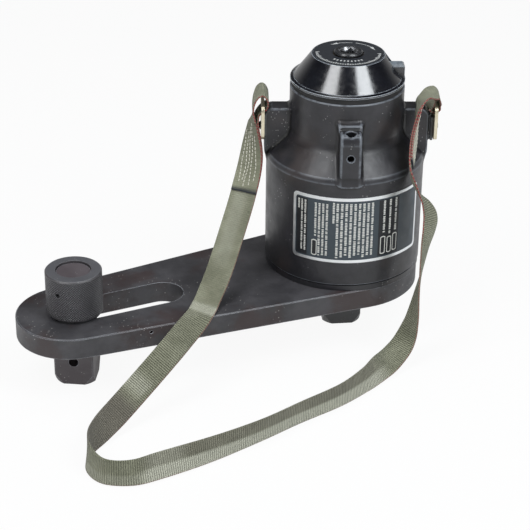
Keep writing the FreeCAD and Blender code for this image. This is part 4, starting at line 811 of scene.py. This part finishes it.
def webbing_material():
    """Olive webbing: cross ribs, twill with painted shade in its grooves, selvedge with a red thread,
    pale bends that are painted highlights, painted shade at the cut ends.
    """
    s = Shader("webbing", Sheen_Weight=0.12, Sheen_Roughness=0.5)
    uv = s.add("ShaderNodeUVMap", uv_map="strap").outputs[0]
    along, across, _ = s.split(uv)
    ribbed, pale, brown, cut, red = (s.attribute(n) for n in ("ribs", "pale", "brown", "cut", "red"))
    ribs = s.wave(along, RIB_PITCH)
    twill = s.wave(s.math("MULTIPLY_ADD", across, 1.6, along), RIB_PITCH)
    yarn = s.wave(across, YARN_PITCH)
    weave = s.math("MULTIPLY_ADD", twill, 0.6, s.times(yarn, 0.35))
    height = s.add("ShaderNodeMix", {0: ribbed, 2: weave, 3: ribs}, data_type="FLOAT").outputs[0]
    fuzz = s.noise(1300, 3, 0.7)
    clouds = s.spread(s.noise(42, 5, 0.6), 0.35, 0.66)
    color = s.mix(clouds, (0.218, 0.222, 0.150), (0.318, 0.322, 0.228))
    color = s.mix(s.times(brown, 0.75), color, (0.160, 0.138, 0.118))
    # Pale marks; the narrow bands at the bends are painted highlights.
    color = s.mix(s.times(pale, s.spread(fuzz, -0.2, 0.4)), color, (0.56, 0.56, 0.455))
    # Painted shade in the weave's low places, stronger where the webbing is ribbed.
    groove_shade = s.math("MULTIPLY_ADD", ribbed, 0.32, 0.42)
    color = s.mix(s.times(s.spread(height, -0.1, -0.9), groove_shade), color, (0.040, 0.042, 0.028))
    color = s.mix(s.times(s.spread(fuzz, 0.6, 0.85), 0.3), color, (0.46, 0.46, 0.36))
    dots = s.spread(s.wave(along, RED_PITCH), -0.4, 0.4, 0.45, 1)
    thread = s.times(s.times(s.spread(across, *RED_EDGE), dots), red)
    color = s.mix(thread, color, (0.27, 0.045, 0.045))
    # Painted shade: the cut ends, where each lap ends in a step, made near black.
    color = s.mix(cut, color, (0.022, 0.027, 0.045))
    normal = s.bump(fuzz, 0.2, 0.0002, s.bump(height, 0.8, 0.0005))
    return s.finish(color, s.spread(fuzz, 0.3, 0.7, 0.74, 0.9), normal)


def strap_profile():
    """Closed outline of the webbing's section: (across, up), each from -1 to 1."""
    half = (1, 0.985, 0.94, 0.86, 0.7, 0.5, 0.3, 0.1)
    ways = half + tuple(-w for w in reversed(half))
    thick = [(1 - abs(w) ** 24) ** 0.5 for w in ways]
    return [(w, t) for w, t in zip(ways, thick)] + [(w, -t) for w, t in zip(ways, thick)][-2:0:-1]


# Marks along the free run, millimetres from its start: (from, to, softness)
FLOOR_RUN = (480, 740, 22)
BROWN_BEND = (322, 392, 16)
RIBS_OVER_BAR = (203, 300, 6)
RIBS_BELOW = (300, 980, 20)
RED_AT_START = (-200, 60, 30)
# The same from the end of the free run
RED_AT_END = (-140, 300, 20)
PALE_LOOP = (40, 200, 10)
ALL_WIDTH = (-1, 1, 1)
# Pale bends, folds and stretches: strength, stretch along, stretch across; the narrow bands at bends
# are painted highlights.
PALE_MARKS = (
    (0.7, (191, 199, 4), ALL_WIDTH),
    (0.55, (293, 303, 7), (-0.5, 1, 0.1)),
    (0.3, (75, 130, 25), (-0.2, 0.5, 0.4)),
    (0.35, (478, 500, 12), ALL_WIDTH),
    (0.95, FLOOR_RUN, (-1, -0.08, 0.1)),
    (0.3, (405, 470, 12), (-1, -0.3, 0.2)),
)


def strap_marks(places, ends, run):
    """How ribbed, pale, brown, cut and red-edged the webbing is at each vertex."""
    rows = {"ribs": [], "pale": [], "brown": [], "cut": [], "red": []}
    for s, w in places:
        pale = sum(much * hump(s, *along) * hump(w, *across) for much, along, across in PALE_MARKS)
        pale += 0.45 * hump(s - run, *PALE_LOOP)
        # Along the floor run one half of the width is darker, and the other half is paler through
        # PALE_MARKS.
        darker_half = 0.55 * hump(s, *FLOOR_RUN) * hump(w, 0.08, 1, 0.1)
        rows["ribs"].append(max(hump(s, *RIBS_OVER_BAR), 0.85 * hump(s, *RIBS_BELOW)))
        rows["pale"].append(min(1.0, pale))
        rows["brown"].append(max(hump(s, *BROWN_BEND), darker_half))
        rows["cut"].append(1.0 if s <= ends[0] + 0.01 or s >= ends[1] - 0.01 else 0.0)
        rows["red"].append(max(0.55, hump(s, *RED_AT_START), hump(s - run, *RED_AT_END)))
    return rows


def carry_strap(rows, marks, distance):
    profile = strap_profile()
    n = len(profile)
    start, run = distance[marks[2]], distance[marks[3]] - distance[marks[2]]
    verts, places = [], []
    for (middle, across, normal), total in zip(rows, distance):
        s = total - start
        curl = 0.35 * math.sin(s * 0.031) + 0.2 * math.sin(s * 0.083 + 1)
        curl *= hump(s, 30, run - 40, 30)
        fold = max(TUCK_IN * hump(s - run, *TUCK), PINCH_IN * hump(s - run, *PINCH))
        for w, t in profile:
            cup = curl * (w * w - 0.35)
            reach = w * (1 - fold * (w > 0))
            point = middle + across * (reach * STRAP_WIDTH / 2) + normal * (t * STRAP_THICK / 2 + cup)
            verts.append(point * MM)
            places.append((s, w))
    faces = []
    for i in range(len(rows) - 1):
        for k in range(n):
            a, b = i * n + k, i * n + (k + 1) % n
            faces.append((a, a + n, b + n, b))
    last = (len(rows) - 1) * n
    faces.append(tuple(range(n)))
    faces.append(tuple(last + k for k in range(n - 1, -1, -1)))
    mesh = mesh_of("webbing", verts, faces)
    layer = mesh.uv_layers.new(name="strap")
    for loop in mesh.loops:
        s, w = places[loop.vertex_index]
        layer.data[loop.index].uv = ((s + start) * MM, w * STRAP_WIDTH / 2 * MM)
    for name, values in strap_marks(places, (-start, distance[-1] - start), run).items():
        mesh.attributes.new(name, "FLOAT", "POINT").data.foreach_set("value", values)
    obj = new_object("carry_strap_webbing", mesh, webbing_material())
    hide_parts("carry_strap")
    return obj


def thread_material():
    s = Shader("thread", Sheen_Weight=0.2)
    color = s.mix(s.noise(300, 3), (0.50, 0.48, 0.40), (0.72, 0.70, 0.61))
    return s.finish(color, s.drift(900, 2, 0.6, 0.8), s.bump(s.noise(2500, 2), 0.4, 0.0002))


STITCH_LONG = 3.6
STITCH_SHARE = 0.8     # of a stitch's length that shows
STITCH_LIFT = 0.12


def stitches(name, rows, distance, lines, material):
    """Rows of stitches on the face of the webbing; a line is (from, to, across at each end)."""
    verts, faces = [], []

    def at(u, w):
        past = next((k for k, d in enumerate(distance) if d > u), len(rows) - 1)
        i = max(1, min(len(rows) - 1, past))
        t = (u - distance[i - 1]) / (distance[i] - distance[i - 1])
        middle, across, normal = (rows[i - 1][k].lerp(rows[i][k], t) for k in range(3))
        lift = STRAP_THICK / 2 + STITCH_LIFT
        return (middle + across * w * STRAP_WIDTH / 2 + normal * lift) * MM, normal

    for low, high, w0, w1 in lines:
        count = int(abs(high - low) / STITCH_LONG)
        for k in range(count):
            ends = []
            for t in (k / count, (k + STITCH_SHARE) / count):
                stray = 0.035 * math.sin(9 * t + 7 * w0)
                ends.append(at(low + (high - low) * t, w0 + (w1 - w0) * t + stray))
            bead(verts, faces, ends[0][0], ends[1][0], ends[0][1].normalized())
    return new_object(name, mesh_of(name, verts, faces), material)


def build_strap():
    rows, marks, distance = strap_sections()
    strap = carry_strap(rows, marks, distance)
    thread = thread_material()
    end = distance[marks[1]]
    left = [(9, end - 6, 0.60, 0.66), (5, end - 4, 0.14, 0.02), (11, end - 8, 0.32, 0.30),
            (7, end, -0.20, -0.16), (12, end - 12, -0.56, -0.44)]
    start, end = distance[marks[4]] + 2, distance[-1] - 5
    right = [(start, end, w, w * 0.9) for w in (0.72, 0.36, 0.0, -0.36, -0.72)]
    sewn = [stitches("left_lap_stitches", rows, distance, left, thread),
            stitches("right_lap_stitches", rows, distance, right, thread)]


build_strap()


# Label on the body

# Heights of its layers above its face
FIELD_LIFT, PANEL_LIFT, PRINT_LIFT, INNER_LIFT = 0.04, 0.07, 0.10, 0.13
LABEL_STEP = 1.5
TEXT_GAP = 0.006
WORD_GAP = 0.016
# Columns of blocks: place along the label, width, bottom and top, as shares of its size
TEXT_COLUMNS = (
    (0.047, 0.015, 0.72, 0.91), (0.072, 0.015, 0.10, 0.91), (0.098, 0.015, 0.10, 0.91),
    (0.176, 0.016, 0.36, 0.90), (0.203, 0.016, 0.08, 0.90), (0.230, 0.016, 0.08, 0.90),
    (0.257, 0.016, 0.08, 0.90), (0.303, 0.016, 0.60, 0.93),
    *((0.330 + 0.0305 * k, 0.018, 0.07 + 0.02 * (k % 3), 0.92) for k in range(9)),
    (0.665, 0.018, 0.42, 0.92), (0.713, 0.018, 0.38, 0.92), (0.762, 0.018, 0.42, 0.92),
)
BLANK_FIELDS = (
    (0.150, 0.190, 0.08, 0.33), (0.640, 0.680, 0.09, 0.37),
    (0.693, 0.730, 0.09, 0.35), (0.740, 0.778, 0.10, 0.38),
)


def on_label(u, v, lift):
    """A point of the label: u along it, v up it, both 0 to 1, and lift above its face."""
    turn = math.radians(LABEL_TURN[0] + (LABEL_TURN[1] - LABEL_TURN[0]) * u)
    z = LABEL_Z[0] + (LABEL_Z[1] - LABEL_Z[0]) * v
    r = LABEL_R + lift
    return Vector((r * math.cos(turn), r * math.sin(turn), z)) * MM


def label_patch(verts, faces, box, lift, corner=0.0):
    """A curved plate with round corners; box is (u0, u1, v0, v1), corner in millimetres."""
    u0, u1, v0, v1 = box
    length = math.radians(LABEL_TURN[1] - LABEL_TURN[0]) * LABEL_R
    tall = LABEL_Z[1] - LABEL_Z[0]
    columns = max(1, int((u1 - u0) * length / LABEL_STEP))
    first = len(verts)
    for i in range(columns + 1):
        u = u0 + (u1 - u0) * i / columns
        inset = 0.0
        edge = min(u - u0, u1 - u) * length
        if edge < corner:
            inset = (corner - math.sqrt(max(0.0, corner ** 2 - (corner - edge) ** 2))) / tall
        verts += [on_label(u, v0 + inset, lift), on_label(u, v1 - inset, lift)]
    for i in range(columns):
        a = first + 2 * i
        faces.append((a, a + 2, a + 3, a + 1))


def label_piece(name, patches, lift, material, corner=0.0):
    verts, faces = [], []
    for box in patches:
        label_patch(verts, faces, box, lift, corner)
    return new_object(name, mesh_of(name, verts, faces), material)


def text_like_column(rng, u, width, low, high):
    """A column of small blocks in word-long groups, running down the label."""
    blocks = []
    v = high
    left = rng.randint(3, 9)
    while v > low + 0.02:
        tall = rng.uniform(0.014, 0.024)
        u0 = u - width / 2 * rng.uniform(0.75, 1)
        u1 = u + width / 2 * rng.uniform(0.75, 1)
        blocks.append((u0, u1, v - tall, v))
        v -= tall + TEXT_GAP
        left -= 1
        if left == 0:
            left = rng.randint(2, 9)
            v -= WORD_GAP
    return blocks


def build_label():
    rng = random.Random(11)
    slate = paint("label_slate", (0.040, 0.055, 0.068), 0.4, (0.09, 0.11, 0.125), 0.4)
    black = paint("label_black", (0.009, 0.010, 0.013), 0.38, (0.05, 0.05, 0.055), 0.3)
    cream = paint("label_print", (0.68, 0.68, 0.64), 0.5, (0.34, 0.35, 0.36), 0.45)
    panels = [(0.030, 0.115, 0.065, 0.935), (0.622, 0.790, 0.065, 0.935)]
    label_piece("label_field", [(0.021, 0.979, 0.045, 0.955)], FIELD_LIFT, slate, 2.6)
    label_piece("label_panels", panels, PANEL_LIFT, black)
    blocks = []
    for column in TEXT_COLUMNS:
        blocks += text_like_column(rng, *column)
    label_piece("label_print", blocks, PRINT_LIFT, cream)
    label_piece("label_fields_rim", BLANK_FIELDS, PRINT_LIFT, cream, 1.0)
    inner = [(a + 0.006, b - 0.006, c + 0.014, d - 0.014) for a, b, c, d in BLANK_FIELDS]
    label_piece("label_fields", inner, INNER_LIFT, black, 0.7)


build_label()


# Marks on the cover's plate; angles in degrees, radii in millimetres

MARKS_Z = CONE_TOP + 0.25 + 0.04
ARROWS_TURN = 61.6
SCALE_TURN = ARROWS_TURN + 180
SCALE_R = 31.6
SCALE_MARKS, SCALE_PITCH = 41, 4.5
DASHES_R = (20.6, 23.6)
DASHES, DASH_PITCH = 9, 9


def on_disc(r, turn):
    a = math.radians(turn)
    return Vector((r * math.cos(a), r * math.sin(a), MARKS_Z)) * MM


def flat_arc(verts, faces, r0, r1, start, end, steps=24):
    first = len(verts)
    for i in range(steps + 1):
        turn = start + (end - start) * i / steps
        verts += [on_disc(r0, turn), on_disc(r1, turn)]
    for i in range(steps):
        a = first + 2 * i
        order = (a, a + 1, a + 3, a + 2) if end > start else (a, a + 2, a + 3, a + 1)
        faces.append(order)


def arrow(verts, faces, r, start, end):
    """A thin arc that ends in an arrow head."""
    sign = 1 if end > start else -1
    flat_arc(verts, faces, r - 0.35, r + 0.35, start, end)
    first = len(verts)
    verts += [on_disc(r - 1.7, end), on_disc(r + 1.7, end), on_disc(r, end + sign * 17)]
    faces.append((first, first + 1, first + 2) if sign > 0 else (first + 2, first + 1, first))


def build_disc():
    white = paint("disc_print", (0.62, 0.63, 0.62), 0.5, (0.3, 0.3, 0.3), 0.5)
    face = paint("disc_black", (0.020, 0.023, 0.029), 0.36, (0.06, 0.065, 0.07), 0.5)
    plate = NODES["direction_plate"].data
    plate.materials.clear()
    plate.materials.append(face)
    verts, faces = [], []
    arrow(verts, faces, 27.0, ARROWS_TURN - 8, ARROWS_TURN + 24)
    arrow(verts, faces, 27.5, ARROWS_TURN - 14, ARROWS_TURN - 53)
    for k in range(SCALE_MARKS):
        turn = SCALE_TURN + SCALE_PITCH * (k - SCALE_MARKS // 2)
        long = 3.6 if k % 5 == 0 else 2.4
        flat_arc(verts, faces, SCALE_R - long, SCALE_R, turn - 1.15, turn + 1.15, 1)
    for k in range(DASHES):
        turn = SCALE_TURN + DASH_PITCH * (k - DASHES // 2)
        flat_arc(verts, faces, *DASHES_R, turn - 1.9, turn + 1.9, 2)
    mesh = mesh_of("disc_marks", verts, faces, smooth=False)
    new_object("disc_marks", mesh, white)


build_disc()


# Studio

LENS = 116.442
CAMERA_PLACE = (-0.739272, -1.365048, 0.887714)
CAMERA_TURN = ((-25.56779, "Z"), (90 - 28.1877, "X"), (0.69638, "Z"))
FLOOR_HALF = 6
FLOOR_DROP = 0.0003
# Name, place, target, size, watts, tint
LAMPS = (
    ("key_left", (-1.15, -0.34, 1.40), (0, 0, 0.15), (0.7, 1.1), 13.5, (0.97, 0.985, 1.0)),
    ("key_right", (0.40, -1.10, 1.42), (0, 0, 0.15), (0.76, 1.1), 19, (0.93, 0.97, 1.0)),
    ("top", (-0.2, 0.35, 1.9), (-0.1, -0.05, 0.1), (1.4, 1.0), 9, (0.95, 0.975, 1.0)),
)


def softbox(name, place, target, size, power, tint):
    data = bpy.data.lights.new(name, "AREA")
    data.shape = "RECTANGLE"
    data.size, data.size_y = size
    data.energy = power
    data.color = tint
    obj = linked(name, data)
    obj.location = place
    obj.rotation_euler = (Vector(target) - Vector(place)).to_track_quat("-Z", "Y").to_euler()


def build_camera():
    """The camera as fitted to the photograph, about 1.7 m away."""
    data = bpy.data.cameras.new("camera")
    data.lens = LENS
    data.sensor_width = 36
    data.clip_start = 0.05
    obj = linked("camera", data)
    first, second, third = (Matrix.Rotation(math.radians(a), 4, axis) for a, axis in CAMERA_TURN)
    obj.matrix_world = Matrix.Translation(CAMERA_PLACE) @ (first @ second @ third)
    bpy.context.scene.camera = obj


def build_world():
    """White to the camera; for light and reflections, dim overhead and brighter near the horizon."""
    world = bpy.data.worlds.new("studio")
    world.use_nodes = True
    bpy.context.scene.world = world
    tree = world.node_tree
    background = tree.nodes["Background"]
    where = tree.nodes.new("ShaderNodeTexCoord")
    split = tree.nodes.new("ShaderNodeSeparateXYZ")
    tree.links.new(where.outputs["Generated"], split.inputs[0])
    height = tree.nodes.new("ShaderNodeMapRange")
    settings = {"From Min": 0.02, "From Max": 0.35, "To Min": 0.6, "To Max": 0.05}
    for socket, number in settings.items():
        height.inputs[socket].default_value = number
    tree.links.new(split.outputs[2], height.inputs[0])
    path = tree.nodes.new("ShaderNodeLightPath")
    seen = tree.nodes.new("ShaderNodeMath")
    seen.operation = "MAXIMUM"
    tree.links.new(path.outputs["Is Camera Ray"], seen.inputs[0])
    tree.links.new(height.outputs[0], seen.inputs[1])
    tree.links.new(seen.outputs[0], background.inputs["Strength"])
    background.inputs["Color"].default_value = (1, 1, 1, 1)


def build_floor():
    """Pale floor that takes the object's shadow and looks white to the camera."""
    h = FLOOR_HALF
    corners = [Vector((x, y, -FLOOR_DROP)) for x, y in ((-h, -h), (h, -h), (h, h), (-h, h))]
    mesh = mesh_of("floor", corners, [(0, 1, 2, 3)], smooth=False)
    s = Shader("floor", Roughness=0.9, Specular_IOR_Level=0.0, Base_Color=(0.86, 0.86, 0.86))
    glow = s.add("ShaderNodeEmission", {"Color": (1, 1, 1), "Strength": 1.0})
    path = s.add("ShaderNodeLightPath").outputs
    seen = s.math("MAXIMUM", path["Is Camera Ray"], path["Is Transmission Ray"])
    seen = s.math("MAXIMUM", seen, s.times(path["Is Glossy Ray"], 0.55))
    shaders = {0: s.times(seen, 0.93), 1: s.bsdf.outputs[0], 2: glow.outputs[0]}
    both = s.add("ShaderNodeMixShader", shaders)
    s.tree.links.new(both.outputs[0], s.tree.nodes["Material Output"].inputs["Surface"])
    obj = linked("floor", mesh)
    mesh.materials.append(s.mat)


build_camera()
build_world()
build_floor()
for lamp in LAMPS:
    softbox(*lamp)
bpy.context.scene.view_settings.view_transform = "Standard"
